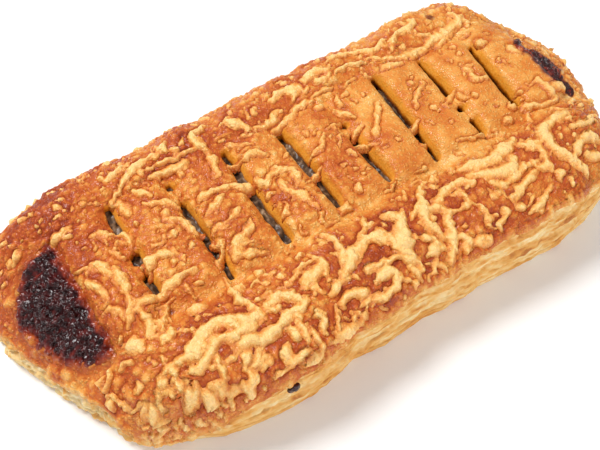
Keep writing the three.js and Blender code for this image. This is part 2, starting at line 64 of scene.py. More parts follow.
# corners: how far each reaches along the slice and across it
NEAR_LEFT, FAR_LEFT = (36, 15), (12, 11)
NEAR_RIGHT, FAR_RIGHT = (14, 11), (6, 6)
FAR_DRIFT, FAR_DRIFT_MIDDLE = 0.024, 19
NEAR_BULGE, NEAR_BULGE_X, NEAR_BULGE_SPREAD = 1.2, 44.5, 26
NEAR_PINCH, NEAR_PINCH_X, NEAR_PINCH_SPREAD = 1.3, -1.5, 17
NEAR_BEND_START, FAR_BEND_START = -28, 15

# ---- heights --------------------------------------------------------------------
SEAM = 5.2  # top of the lower sheet
GAP = 0.35
FIELD = 24.3  # crust over the filling
NEAR_ROLL, NEAR_ROLL_Y, NEAR_ROLL_SPREAD = 2.4, -27, 8.5
FAR_ROLL, FAR_ROLL_Y, FAR_ROLL_SPREAD = 1.3, 31, 7
NEAR_CREASE, NEAR_CREASE_Y = 1.4, -14
FAR_CREASE, FAR_CREASE_Y = 0.8, 23.5
CREASE_SPREAD = 3.3
NEAR_SHOULDER, FAR_SHOULDER = (14, 4), (12, 7.5)  # over how far, by how much
LEFT_RIM, RIGHT_RIM = 8, 17
LEFT_SLOPE, LEFT_SLOPE_CORNER, RIGHT_SLOPE = 24, 13, 17
LEFT_ROUNDING, RIGHT_ROUNDING = 1.9, 2
PILLOW, PILLOW_SHARE = 1.3, 0.6
LUMPS = 0.45
CORNER_LIFT, CORNER_LIFT_X, CORNER_LIFT_Y = 3.0, -80, -20  # the rim stands higher here
LEAN = {"near": 1.7, "far": 1.2, "left": 1.7, "right": 0.7}  # crust edge, in from the sheet's
NO_LEAN = dict.fromkeys(LEAN, 0)

# ---- cuts in the lid, left to right -------------------------------------------------
# shut: stretches in Y where the two lips of a cut have baked together again
Cut = namedtuple("Cut", "x slant near far width gape shut", defaults=(0, ()))
CUTS = [
    Cut(-71.3, 0.0, -14.8, 22.5, 3.0, 13.2),
    Cut(-54.7, 0.7, -8.6, 24.7, 2.7, 0, ((7, 13), (-0.5, 2.6))),
    Cut(-37.1, -0.3, -13.1, 21.8, 2.6, 0, ((13.8, 18.6),)),
    Cut(-19.3, 0.4, -12.3, 23.7, 3.0),
    Cut(-2.0, 0.6, -11.2, 21.1, 3.1),
    Cut(14.6, 1.2, -10.8, 20.5, 2.7, 0, ((13.4, 20.5), (8.4, 11.2))),
    Cut(31.6, 3.5, -12.0, 23.2, 3.0),
    Cut(48.3, 3.6, -12.4, 21.4, 2.6, 0, ((0.5, 4.8), (-5.6, -2.2))),
    Cut(64.3, 4.1, -9.9, 17.0, 2.8),
    Cut(80.6, 4.0, -12.5, 13.5, 3.4, 0, ((-12.5, 13.5),)),
]
CUT_END_SHARE, GAPE_SKEW, CLOSED_WIDTH, LINES_SPREAD = 0.45, 1.4, 1.4, 2.2
OPENING_ROUNDING, GAPE_ROUNDING = 0.35, 0.6
SHUT_SHARE = 0.1  # of a cut's width is left where its lips touch


def mix(a, b, t):
    return a + (b - a) * t


def bell(d, spread):
    """1 at 0, falling off smoothly on both sides."""
    return np.exp(-((d / spread) ** 2))


def smooth(a, b, v):
    """0 up to a, 1 from b on, and an even slope between them."""
    t = np.clip((v - a) / (b - a), 0, 1)
    return t * t * (3 - 2 * t)


def corner_cut(y, side, corner, half):
    """How far a rounded corner draws an end in at y."""
    along, across = corner
    t = np.clip((y * side - (half - across)) / across, 0, 1)
    return along * (1 - np.sqrt(1 - t * t))


def taper(y, tip_y, rate):
    """How far an end draws back from its blunt tip at y."""
    return rate * (np.hypot(y - tip_y, TIP_ROUNDING) - TIP_ROUNDING)


def left_end(y, inset=0, half=HALF_WIDTH):
    """X of the left end at y, for a plan drawn in by inset."""
    rate = np.where(y < LEFT_TIP_Y, LEFT_TAPER_NEAR, LEFT_TAPER_FAR)
    corners = corner_cut(y, -1, NEAR_LEFT, half) + corner_cut(y, 1, FAR_LEFT, half)
    return LEFT_TIP + inset + taper(y, LEFT_TIP_Y, rate) + corners


def right_end(y, inset=0, half=HALF_WIDTH):
    corners = corner_cut(y, -1, NEAR_RIGHT, half) + corner_cut(y, 1, FAR_RIGHT, half)
    return RIGHT_TIP - inset - taper(y, RIGHT_TIP_Y, RIGHT_TAPER) - corners


def bend(x, y):
    """Real Y of a plan point: the two long edges have slow bends."""
    near = smooth(NEAR_BEND_START, -HALF_WIDTH, y)
    far = smooth(FAR_BEND_START, HALF_WIDTH, y)
    drift = far * FAR_DRIFT * (x - FAR_DRIFT_MIDDLE)
    bulge = NEAR_BULGE * bell(x - NEAR_BULGE_X, NEAR_BULGE_SPREAD)
    pinch = NEAR_PINCH * bell(x - NEAR_PINCH_X, NEAR_PINCH_SPREAD)
    return y + drift + near * (pinch - bulge)


def shut_share(cut, y):
    """How far the lips of a cut are apart at y, from SHUT_SHARE to 1."""
    share = np.ones_like(y)
    for low, high in cut.shut:
        inside = smooth(low - 0.6, low + 0.3, y) * smooth(high + 0.6, high - 0.3, y)
        share = share * (1 - (1 - SHUT_SHARE) * inside)
    return share


def cut_edges(cut, y, shut=True):
    """X of the left and right edge of a cut at y."""
    along = (y - cut.near) / (cut.far - cut.near)
    t = np.clip(along, 0, 1)
    middle = cut.x + cut.slant * (t - 0.5)
    arch = np.abs(np.sin(np.pi * t))
    inside = (along >= 0) & (along <= 1)
    share = np.where(inside, mix(CUT_END_SHARE, 1, arch**OPENING_ROUNDING), CUT_END_SHARE)
    half = cut.width / 2 * share
    if shut:
        half = half * shut_share(cut, y)
    skewed = np.abs(np.sin(np.pi * t**GAPE_SKEW))
    gape = np.where(inside, cut.gape * skewed**GAPE_ROUNDING, 0)
    return middle - half - gape, middle + half


def across_strip(x, y):
    """0 on a cut's lines and 1 along the middle of a strip."""
    out = np.zeros(np.broadcast(x, y).shape)
    for a, b in zip(CUTS[:-1], CUTS[1:]):
        left, right = cut_edges(a, y, False)[1], cut_edges(b, y, False)[0]
        t = (x - left) / (right - left)
        out = np.where((t >= 0) & (t <= 1), 1 - (2 * t - 1) ** 4, out)
    return out


def wave(x, y, length_x, length_y, phase=0.0):
    """A slow wave across the plan."""
    return np.sin(2 * np.pi * (x / length_x + y / length_y) + phase)


def crust(x, y):
    """Height of the baked crust over a plan point, without its fine relief."""
    x, y = np.broadcast_arrays(np.asarray(x, float), np.asarray(y, float))
    z = FIELD + NEAR_ROLL * bell(y - NEAR_ROLL_Y, NEAR_ROLL_SPREAD)
    z = z + FAR_ROLL * bell(y - FAR_ROLL_Y, FAR_ROLL_SPREAD)
    z = z - NEAR_CREASE * bell(y - NEAR_CREASE_Y, CREASE_SPREAD)
    z = z - FAR_CREASE * bell(y - FAR_CREASE_Y, CREASE_SPREAD)
    for distance, (over, drop) in (
        (y + HALF_WIDTH, NEAR_SHOULDER),
        (HALF_WIDTH - y, FAR_SHOULDER),
    ):
        t = 1 - np.clip(distance / over, 0, 1)
        z = z - drop * (1 - np.sqrt(1 - t * t))
    in_cuts = smooth(-17.5, -11.5, y) * smooth(26.5, 20.5, y)
    z = z + in_cuts * PILLOW * (across_strip(x, y) - PILLOW_SHARE)
    z = z + LUMPS * wave(x, y, 57, 105) * wave(x, y, np.inf, 48, 0.9)
    z = z + LUMPS * wave(x, y, 27, -37, 2)
    over = mix(LEFT_SLOPE, LEFT_SLOPE_CORNER, smooth(-26, -41, y))
    left = np.clip((x - left_end(y)) / over, 0, 1)
    right = np.clip((right_end(y) - x) / RIGHT_SLOPE, 0, 1)
    z = mix(LEFT_RIM, z, 1 - (1 - left) ** LEFT_ROUNDING)
    z = z + CORNER_LIFT * bell(x - CORNER_LIFT_X, 7) * bell(y - CORNER_LIFT_Y, 8)
    return mix(RIGHT_RIM, z, 1 - (1 - right) ** RIGHT_ROUNDING)


# ---- seeded unevenness ------------------------------------------------------------
# the seed in each call of noise, closed_noise, blisters and bubbled picks its table
TABLE = 256  # cells of a table, each way, before it starts again
RADII = (0.22, 0.62)  # smallest and largest blister, in cells


@lru_cache(maxsize=None)
def noise_table(seed):
    return np.random.default_rng(seed).uniform(-1, 1, (TABLE, TABLE))


@lru_cache(maxsize=None)
def blister_tables(seed, share):
    """Offsets and radii, in cells, of one blister in each cell."""
    rng = np.random.default_rng(seed)
    ox, oy = rng.uniform(0, 1, (2, TABLE, TABLE))
    radius = rng.uniform(*RADII, (TABLE, TABLE))
    radius[rng.uniform(0, 1, (TABLE, TABLE)) > share] = 0.01
    return ox, oy, radius


def noise(x, y, size, seed):
    """Smooth noise from -1 to 1, with bumps about size millimetres apart."""
    values = noise_table(seed)
    u, v = x / size, y / size
    i, j = np.floor(u).astype(int), np.floor(v).astype(int)
    fu, fv = smooth(0, 1, u - i), smooth(0, 1, v - j)
    i0, j0, i1, j1 = i % TABLE, j % TABLE, (i + 1) % TABLE, (j + 1) % TABLE
    low = mix(values[i0, j0], values[i1, j0], fu)
    high = mix(values[i0, j1], values[i1, j1], fu)
    return mix(low, high, fv)


def layered_noise(x, y, size, seed, octaves=3):
    """Noise with finer and finer noise on it."""
    total, weight = 0.0, 1.0
    for k in range(octaves):
        total = total + weight * noise(x, y, size / 2**k, seed + k)
        weight *= 0.5
    return total


def blisters(x, y, size, seed, share):
    """Height, as a share of size, of round bubbles about size millimetres apart."""
    ox, oy, radius = blister_tables(seed, share)
    u, v = x / size, y / size
    i, j = np.floor(u).astype(int), np.floor(v).astype(int)
    height = np.zeros(np.broadcast(u, v).shape)
    for di, dj in product((-1, 0, 1), repeat=2):
        a, b = (i + di) % TABLE, (j + dj) % TABLE
        du, dv = u - (i + di + ox[a, b]), v - (j + dj + oy[a, b])
        r = radius[a, b]
        dome = np.clip(1 - (du * du + dv * dv) / (r * r), 0, 1)
        height = np.maximum(height, r * dome**0.7)
    return height


def bubbled(x, y, kind, seed):
    """Height in millimetres of one kind of bubble."""
    size, steepness, share = kind
    return steepness * size * blisters(x, y, size, seed, share)


def warp(x, y):
    """Plan shift that makes every edge and line of the crust uneven."""
    border = smooth(20, 40, np.abs(y))
    big = mix(0.35, 0.9, border)
    dx = big * noise(x, y, 9, 11) + 0.22 * noise(x, y, 2.6, 12)
    dy = big * noise(x, y, 9, 13) + 0.22 * noise(x, y, 2.6, 14)
    return dx, dy


def place(x, y):
    """Real plan position of a point of the crust."""
    dx, dy = warp(x, y)
    return x + dx, bend(x, y) + dy


# ---- burnt places -------------------------------------------------------------------
def scab_field(x, y):
    """Above 0 where filling has boiled up out of the open cut and burnt."""
    left, right = cut_edges(CUTS[0], y)
    ends = np.minimum(y - CUTS[0].near - 1.2, CUTS[0].far - 0.6 - y)
    field = np.minimum(x - left + 1.6, ends)
    field = field + 0.8 * noise(x, y, 3.4, 21) + 0.4 * noise(x, y, 1.5, 22)
    return np.minimum(field, 2.0 * (right + 0.3 - x))


# middle of the burnt band at the right end: x, y and half width
BURNT_BAND = ((81.2, 11.6, 0.7), (79.0, 9.0, 1.4), (78.6, 5.6, 1.7), (80.4, 1.6, 3.0),
              (80.6, -2.6, 3.3), (80.0, -6.4, 2.5), (80.4, -9.4, 1.6), (81.6, -12.6, 0.7))
BURNT_SPOTS = ((91.6, -2.2, 1.3), (63.6, 32.6, 2.0), (-54.4, -13.0, 1.1), (-39.6, -18.2, 0.6))


def disc_field(x, y, discs):
    """Largest of 1 - distance / radius over the discs: above 0 inside one of them."""
    out = np.full(np.broadcast(x, y).shape, -9.0)
    for cx, cy, r in discs:
        out = np.maximum(out, 1 - np.hypot(x - cx, y - cy) / r)
    return out


def run_on(discs, step=0.4):
    """Discs every step millimetres along a smooth line through the given ones."""
    knots = np.array(discs, float)
    if len(knots) == 1:
        return knots
    padded = np.vstack([2 * knots[0] - knots[1], knots, 2 * knots[-1] - knots[-2]])
    out = []
    for a, b, c, d in zip(padded, padded[1:], padded[2:], padded[3:]):
        n = max(2, int(np.hypot(*(c - b)[:2]) / step))
        t = np.linspace(0, 1, n, endpoint=False)[:, None]
        out.append(0.5 * (2 * b + (c - a) * t + (2 * a - 5 * b + 4 * c - d) * t**2
                          + (3 * b - a - 3 * c + d) * t**3))
    return np.vstack([*out, knots[-1:]])


def band_field(x, y):
    """Above 0 on the burnt band along the last cut."""
    wobble = 0.25 * noise(x, y, 2.2, 23)
    return disc_field(x, y, run_on(BURNT_BAND)) + wobble


def charring(x, y):
    """0 on clean crust, 1 where it is burnt: the margins of the burnt places."""
    lip = cut_edges(CUTS[0], y)[1] + 1.0
    scab = smooth(-4.6, 0.6, scab_field(x, y) + 1.5 * noise(x, y, 4.5, 24))
    scab = 0.36 * scab * smooth(lip - 0.2, lip - 0.9, x)
    band = smooth(-1.0, 0.25, band_field(x, y) + 0.3 * noise(x, y, 3, 25))
    spots = smooth(-0.2, 0.8, disc_field(x, y, BURNT_SPOTS) + 0.35 * noise(x, y, 1.6, 26))
    return np.maximum(np.maximum(scab, 0.8 * band), 0.55 * spots)


# ---- fine relief of the crust --------------------------------------------------------
# kinds of bubble: how far apart in millimetres, how steep, and the share of places with one
PUFFS, BLISTERS, SMALL_BLISTERS = (4.5, 0.19, 0.4), (2.1, 0.58, 0.5), (1.25, 0.7, 0.62)


def droplets(x, y):
    """Height of the small round blisters that cover the crust."""
    return np.maximum(bubbled(x, y, BLISTERS, 34), bubbled(x, y, SMALL_BLISTERS, 35))


def roughened(x, y):
    """How strongly the crust is blistered: least on the pale right strips."""
    strips = smooth(-16, -12, y) * smooth(24, 20, y)
    calm = strips * smooth(-30, 40, x) * smooth(82, 76, x)
    crease = bell(y - NEAR_CREASE_Y, 3.5)
    return 1 - 0.75 * calm - 0.25 * crease * (1 - calm)


def relief(x, y):
    """Fine relief of the crust, in millimetres."""
    rough = roughened(x, y)
    z = 0.45 * noise(x, y, 11, 31) + 0.3 * noise(x, y, 5, 32)
    z = z - 0.6 * bell(y - NEAR_CREASE_Y, 2.4) + 0.4 * across_strip(x, y)
    return z + rough * bubbled(x, y, PUFFS, 33) + rough * droplets(x, y)


def surface(x, y):
    """Height of the crust with its fine relief."""
    return crust(x, y) + relief(x, y)


# ---- grated cheese -------------------------------------------------------------------
# Shreds that lie on the crust: width, then the plan points that each runs through.
LEFT_SHREDS = [
    (2.5, (-60, 4), (-61, -2), (-61, -6), (-63, -10), (-65, -12)),
    (1.8, (-68, -5), (-66, -6), (-64.5, -9.5)),
    (2.8, (-67.5, 4), (-66.3, 0), (-66, -3)),
    (3.4, (-64, 8), (-62.5, 5), (-61, 2), (-61, -3)),
    (3.0, (-60.5, -8.5), (-57, -8), (-54, -8), (-51, -7), (-44, -7)),
    (2.4, (-60.5, -9), (-60.5, -13), (-62, -16.5)),
    (2.0, (-60, -13), (-58.5, -16), (-59, -17.5)),
    (3.0, (-55.5, -12), (-57.5, -15)),
    (1.5, (-57, -11.5), (-52.5, -11)),
    (4.0, (-59, -27), (-55, -27), (-51, -25), (-48, -24), (-44.6, -26.1), (-38.2, -28.3)),
    (2.5, (-58.5, -30.5), (-55, -31), (-51, -28.5), (-45.7, -29), (-40.7, -28.6)),
    (2.0, (-64.5, -26.5), (-60.5, -26.5)),
    (2.2, (-69.2, -29.4), (-69.2, -30.6), (-70.4, -31)),
    (1.6, (-67.4, -30.4), (-66.9, -31.6)),
    (2.0, (-71, -32.2), (-69.5, -32.6), (-67.9, -33.3)),
    (2.4, (-70.3, -33.8), (-70.3, -35.4), (-71.6, -36), (-73, -36.1)),
    (1.7, (-73, -27), (-71.1, -27.5), (-69.5, -28.5)),
    (1.3, (-76.4, -20.8), (-75.5, -21.5), (-75, -23), (-74.1, -24.8)),
    (1.2, (-74, -25), (-73.5, -26.2)),
    (2.0, (-66.5, -28), (-66.4, -29.5), (-67.1, -29.6)),
    (2.2, (-64.9, -27.5), (-64.2, -28.8)),
    (1.5, (-64.5, -30), (-63.9, -31)),
    (3.2, (-61.2, -34), (-60.9, -35), (-61.7, -35)),
    (1.8, (-58, -33.3), (-58.7, -34), (-59.7, -34.4)),
    (2.6, (-58, -36.1), (-57.5, -36.9)),
    (1.8, (-55.4, -38), (-55.4, -39.5)),
    (1.8, (-52.9, -38), (-53.5, -38.5), (-54.4, -40.6)),
    (2.4, (-65.6, -39.1), (-65.7, -40.8)),
    (2.0, (-65, -35.6), (-66, -38.4)),
    (1.7, (-62.4, -39.5), (-62.5, -40.9)),
    (1.3, (-47.3, -32.4), (-48.6, -32.7), (-50.1, -33)),
    (1.9, (-51.4, -30.4), (-51.8, -32.2), (-52, -34.3), (-53, -35.4)),
    (2.1, (-56.1, -35.3), (-54.3, -35.9), (-52.5, -37), (-51, -38.5)),
    (2.4, (-49.4, -38.9), (-49, -40)),
    (2.6, (-46.6, -35.6), (-46, -37.4), (-46.5, -38.5), (-48.1, -38.8)),
    (2.0, (-42, -34.5), (-43, -35.8), (-43.1, -37.5)),
    (2.0, (-45.4, -36.3), (-43, -36.6), (-41.6, -37.1)),
    (2.2, (-61, 16), (-59.5, 16), (-57, 14), (-54.5, 12.5), (-53.5, 10.5), (-54.5, 8)),
    (2.0, (-57, 11), (-55, 10)),
    (1.8, (-59, 9), (-57.5, 6)),
    (1.6, (-69, 8.8), (-66.5, 8.5), (-66, 6.5)),
    (4.0, (-50.5, 23), (-50.5, 17.5)),
    (2.5, (-52.5, 24), (-50, 26), (-45.7, 28.5), (-42.1, 30.3), (-38.2, 31.4), (-35.7, 30.3)),
    (2.5, (-50, 31.6), (-46.4, 32.8), (-42.9, 33.9)),
    (3.0, (-54, -2), (-52, 1), (-48, 1), (-46, -1)),
    (2.0, (-50.5, 4.5), (-46, 4)),
    (3.8, (-66.1, -16.4), (-65.9, -16.6)),
    (4.0, (-49.7, -16.4), (-49.2, -16.6)),
    (2.4, (-59.6, -20), (-59.3, -20.1)),
    (3.0, (-68.9, 21), (-68.6, 21.1)),
]
MIDDLE_NEAR_SHREDS = [
    (2.4, (-36, -2), (-35, -4.5), (-36.5, -7)),
    (1.4, (-36.5, -7), (-38.7, -9.3)),
    (2.0, (-38.6, -12.7), (-38.8, -15)),
    (3.2, (-25, -2.6), (-27.9, -4.7), (-30.7, -6.2), (-33.9, -9.8)),
    (1.4, (-30, -7.6), (-25.7, -8.9)),
    (1.8, (-32.1, -9.8), (-28.6, -11.2), (-26, -12.5)),
    (3.4, (-30.9, -15.7), (-30.5, -15.7)),
    (2.0, (-34.3, 0.3), (-30.7, -1)),
    (2.6, (-39.1, -16.5), (-39.6, -20.5), (-38.6, -24.7), (-38.2, -27.6)),
    (3.0, (-46, -31.1), (-42.1, -32), (-38.2, -33.1), (-33.6, -31.9), (-27.1, -31.1)),
    (3.0, (-35.7, -26.9), (-32.9, -25.3), (-30.7, -25.4), (-28.9, -27.6), (-27.1, -30.4)),
    (1.8, (-26, -23.5), (-22, -22.5), (-18.5, -22)),
    (5.0, (-24.5, -26.5), (-19, -25.5)),
    (2.0, (-18.2, -20.3), (-18, -24), (-19, -28)),
    (2.3, (-11.3, -16.8), (-11.1, -20.4), (-12.1, -24), (-13.9, -26.5)),
    (1.3, (-11.1, -23.6), (-10.9, -25.8)),
    (1.8, (-5.4, -23.6), (-1.8, -20.4), (-0.4, -17.6)),
    (4.0, (-15.7, -29.7), (-10, -26.5), (-5, -24.7), (-1.4, -25.4), (1.4, -27.6)),
    (2.0, (-21.1, -32.2), (-17.9, -31.3), (-14.3, -31.1)),
    (3.2, (-18.6, -35.8), (-15.7, -34.7), (-12.9, -35.8)),
    (2.4, (-9.6, -31.1), (-5.4, -32.2), (-0.7, -33.3), (1.8, -35.4)),
    (3.0, (-8.9, -34.7), (-5.7, -34.4), (-3.9, -36.5), (-5.7, -38.6), (-12.1, -38.6)),
    (3.4, (-37, -37.5), (-37, -39), (-37, -40.1)),
    (1.6, (-32, -40), (-34.4, -40.1), (-37, -40.5), (-39.5, -40.5), (-42, -40.6)),
    (2.1, (-29.1, -37.5), (-28.6, -39), (-28.8, -40.7), (-30, -42), (-32.1, -42.6), (-35, -42.6)),
    (2.8, (-24.5, -40.5), (-22.5, -41), (-19.5, -41.5), (-17.1, -41.5)),
    (1.4, (-26.4, -41.5), (-24.1, -42), (-22.8, -42.5)),
    (2.0, (-31, -34.4), (-31.2, -36.4), (-31.2, -38.4)),
    (2.8, (-33.4, -35.1), (-33.5, -36.5)),
    (1.4, (-25.4, -33.9), (-25, -35.3)),
    (1.4, (-16.3, -38.5), (-16.5, -39.9)),
    (1.4, (-15.5, -40.5), (-15, -40.8)),
    (1.9, (1.1, -36.5), (1.1, -39), (1, -41.5)),
    (1.4, (3.2, -41.5), (6, -39.4), (8, -37)),
    (2.6, (20.5, -39), (21.9, -39.5)),
    (1.8, (-14.6, -1.5), (-14.8, -4.4), (-17.1, -6.1)),
    (2.6, (-11.4, 4.9), (-11.4, 1.4), (-9.6, -3.6), (-8.2, -7.9)),
    (1.6, (-15.7, -11.1), (-15, -13.3)),
    (1.4, (-9.3, -13.6), (-5.4, -14.5)),
]
MIDDLE_FAR_SHREDS = [
    (1.6, (-36.8, 28.1), (-32.1, 27.4), (-25, 27.1)),
    (3.4, (-39.3, 24.9), (-33.9, 24.2), (-29.6, 24.6)),
    (2.0, (-46.1, 23.9), (-43.2, 19.2)),
    (2.4, (-45.4, 17.1), (-41.8, 15.3), (-38.9, 12.8)),
    (2.6, (-43.6, 10.3), (-40.4, 8.1), (-39.6, 4.9), (-38.2, 2.1)),
    (2.4, (-32.5, 11.4), (-27.1, 11.4), (-22.1, 9.9), (-19.3, 8.9)),
    (3.2, (-21, 9.6), (-19.3, 8.9)),
    (2.6, (-33.9, 5.3), (-30, 7.1), (-26.4, 8.5)),
    (2.0, (-35, 0), (-30, 0.5), (-25.5, 2.9)),
    (3.2, (-22.5, 22.4), (-23.6, 19.6), (-25, 15.6)),
    (2.6, (-22.9, 24.9), (-23.6, 28.1), (-23.9, 31.4), (-21.8, 33.1), (-18.6, 34.2)),
    (2.2, (-19.6, 17.4), (-15, 16.4), (-12.1, 16.7), (-9.3, 13.9)),
    (2.2, (-16.8, 24.2), (-13.9, 21.4), (-11.8, 19.6)),
    (3.6, (-12.1, 31.7), (-11.4, 28.9), (-9.3, 26)),
    (2.6, (-6.8, 24.9), (-1.8, 24.9), (1.4, 27.1)),
    (2.6, (-16.4, 9.2), (-15.4, 6.4), (-12.9, 8.1), (-8.9, 8.1), (-6.8, 6), (-7.1, 2.4)),
    (2.0, (-7.1, 2.4), (-9, 1)),
    (2.8, (-16, 3.1), (-15.8, 3.1)),
    (1.4, (-5.7, 10.6), (-4, 11.7)),
    (1.8, (-5.5, 0), (0, 1.5)),
]
MIDDLE_RIGHT_NEAR_SHREDS = [
    (2.6, (4.8, -8.8), (4.9, -8.8)),
    (1.4, (9.8, -13.3), (14.8, -11.9)),
    (1.2, (21, -12.6), (24.3, -13.2)),
    (1.4, (17.3, -15.1), (20.9, -15.4)),
    (1.3, (12.3, -18.6), (14.8, -15.8)),
    (2.8, (18.4, -18.3), (16.6, -21.1), (13.7, -24.7), (11.6, -28.3), (12.3, -31.9), (13, -34)),
    (1.6, (9.4, -25.4), (13.7, -23.6)),
    (4.0, (4.1, -21.1), (5.9, -24), (4.8, -27.6), (2.6, -30.4), (1.6, -34)),
    (2.0, (8.4, -21.9), (6.6, -24.7)),
    (2.2, (0.9, -27.6), (0.5, -31.1), (2.6, -36.5), (2.6, -39)),
    (2.0, (7.6, -32.2), (9.4, -32.6), (9.4, -34.7), (5.9, -35.8)),
    (3.4, (18, -25.1), (23, -23.3), (27.6, -23.6), (29.4, -25.8)),
    (3.0, (17.3, -27.6), (20.1, -29.4)),
    (2.4, (20.9, -30.1), (24.8, -30.4)),
    (2.4, (25.1, -26.1), (25.1, -29.4)),
    (1.5, (25.9, -31.1), (27.6, -36.5)),
    (3.6, (17.3, -30.1), (15.9, -33.3), (14.1, -36.9), (11.6, -38.6)),
    (2.2, (17.6, -36.9), (18.4, -38.6)),
    (1.4, (28.4, -38.3), (31.2, -37.2)),
    (3.8, (31.2, -19.4), (34.4, -21.1), (38, -21.9), (42.6, -21.9), (46.2, -20.6), (49.5, -19.8)),
    (3.8, (30.9, -23.6), (35.9, -26.1), (40.9, -26.9), (44.4, -25.1)),
    (2.0, (35.1, -30.4), (39.8, -29.7), (43.7, -28.6), (46.2, -27.2)),
    (1.2, (30.9, -31.5), (34.1, -31.5)),
    (2.0, (35.5, -33.6), (40.9, -32.2), (46.9, -31.5)),
    (1.8, (37.3, -39), (41.9, -37.9), (46.9, -36.1)),
    (1.2, (37.6, -36.5), (42.3, -35.8)),
    (1.6, (38, -10.8), (41.6, -12.2), (45.5, -12.6)),
    (1.4, (35.1, -13.3), (35.5, -15.8)),
    (1.2, (46.6, -13.6), (48.7, -15.8)),
    (2.5, (28, -6), (30.5, -5.8)),
    (2.8, (36, -36.1), (36.1, -36.1)),
    (2.2, (31.9, -35.8), (32, -35.8)),
]
MIDDLE_RIGHT_FAR_SHREDS = [
    (2.6, (2.3, 31), (6.9, 32.1), (10.9, 30.6)),
    (2.4, (7.6, 28.1), (9, 30)),
    (2.6, (-3.2, 21.4), (2.3, 22.8), (6.9, 24.6), (12.3, 24.9)),
    (1.8, (13.4, 25.6), (15.9, 25.6), (19.4, 24.8)),
    (3.0, (13.7, 31.4), (17.3, 32.1), (21.9, 31.4)),
    (3.0, (15.9, 28.5), (20.9, 28.9)),
    (2.4, (23.7, 33.9), (28.4, 34.6), (33.7, 34.2), (37.3, 31.4), (40.1, 29.9), (44.1, 32.8)),
    (2.0, (23.4, 28.5), (28.4, 28.9), (33.7, 28.1)),
    (1.4, (22.3, 23.9), (28.7, 24.6)),
    (2.4, (35.9, 28.5), (39.1, 26.7), (43.4, 24.9), (45.9, 22.8)),
    (3.2, (37.3, 23.1), (40.1, 22.4), (43, 21.4)),
    (3.0, (19.4, 21.7), (18, 18.1)),
    (2.0, (12.2, 20.6), (12.5, 20.4)),
    (2.2, (9.8, 12.8), (14.1, 12.8)),
    (2.6, (15.1, 17.4), (17.3, 14.9), (19.1, 12.8)),
    (2.0, (0.5, 6.4), (4.1, 8.1), (7.6, 11.4)),
    (1.2, (8, 4.9), (10.9, 9.2)),
    (2.4, (15.1, 7.4), (18, 8.5)),
    (2.8, (19.1, 2.1), (21.6, 5.6), (24.4, 9.2), (27.3, 12.4)),
    (1.6, (13.4, 4.2), (15.9, 2.1), (18, 0.3)),
    (2.2, (35.9, 6), (39.1, 8.9), (44.1, 12.8)),
    (2.6, (40, 13.9), (40.4, 14)),
    (2.0, (44.8, 2.8), (49.8, 4.9)),
    (2.4, (30.1, 0.6), (33.7, 1.7)),
]
RIGHT_SHREDS = [
    (3.8, (68.9, -20.8), (63.1, -21.1), (58.5, -22.2), (56.4, -25.1), (56, -27.6),
     (56.7, -31.1), (58.1, -34), (59.6, -36.1)),
    (3.0, (58.6, -34.4), (62.8, -31.9), (66, -30.4), (69.6, -30.8), (71, -31.9)),
    (3.0, (64.9, -34.7), (67.4, -35.1)),
    (2.8, (60.4, -37.4), (60.8, -37.6)),
    (2.6, (49.5, -22.6), (52, -26.5), (51.6, -29.6), (50.6, -32.4)),
    (2.0, (48.1, -30), (50.3, -33.3)),
    (2.2, (51.6, -35), (51.9, -35.2)),
    (2.2, (66.4, -25.8), (68.9, -26.5), (72.4, -26.1), (76.7, -24.7)),
    (2.4, (62.8, -11.5), (66, -12.9), (69.6, -14), (73, -14)),
    (3.2, (72, -6), (72.4, -9.7), (73.1, -13.3)),
    (3.4, (75.2, -10.6), (77.8, -9.9)),
    (2.2, (59.2, -9.4), (60.4, -9.3)),
    (2.0, (59.6, -16.5), (62.8, -13.6)),
    (2.0, (68, -17), (70.5, -20)),
    (2.0, (74, -17.5), (79, -15.5)),
    (1.4, (64.3, -28.2), (64.9, -28.4)),
    (4.0, (46, 24.2), (50, 24.2), (53, 24), (57, 25), (60, 25.2), (64, 25), (71, 27)),
    (2.8, (57.8, 21.7), (63, 23.1)),
    (3.0, (45.5, 29.6), (48.1, 31.7), (50.6, 32.4), (54.9, 32.4), (57.8, 33.9)),
    (2.4, (56.7, 28.5), (58.9, 27.4)),
    (2.0, (68.9, 31), (70.6, 27.4), (72.4, 28.1)),
    (3.6, (57.3, 8.5), (57.5, 7.8)),
    (3.2, (56.8, 5.6), (57.8, 3.7), (59.9, 3.1)),
    (3.4, (69.1, 16), (69.3, 15.2)),
    (3.4, (75.1, 7.8), (75.5, 6.2)),
    (2.0, (50.2, 2.6), (50.4, 1.2)),
    (1.8, (61, 18.6), (61.2, 18.3)),
    (1.6, (68.8, 6.5), (69, 6.3)),
    (1.4, (69.6, 3.6), (69.6, 2)),
    (3.0, (73, 33.6), (77, 36.4)),
]
SHREDS = (LEFT_SHREDS + MIDDLE_NEAR_SHREDS + MIDDLE_FAR_SHREDS + MIDDLE_RIGHT_NEAR_SHREDS
          + MIDDLE_RIGHT_FAR_SHREDS + RIGHT_SHREDS)
SHRED_REACH = 2.6  # millimetres round a shred that it is worked out over
MELT = 0.16  # how far touching shreds have run into each other
FLANK = 1.8  # the higher, the steeper a shred's sides
HIGHEST_SHRED = 1.2
CHEESE_SEED = 5
DROPS = 600
DROP_WIDTHS, DROP_SHARES = (1.0, 1.3, 1.7, 2.2), (0.4, 0.3, 0.2, 0.1)
GRID_PAST_LEFT, GRID_PAST_NEAR, GRID_PAST = 8, 9, 5  # the grid goes on past the plan
NO_CHEESE = -3


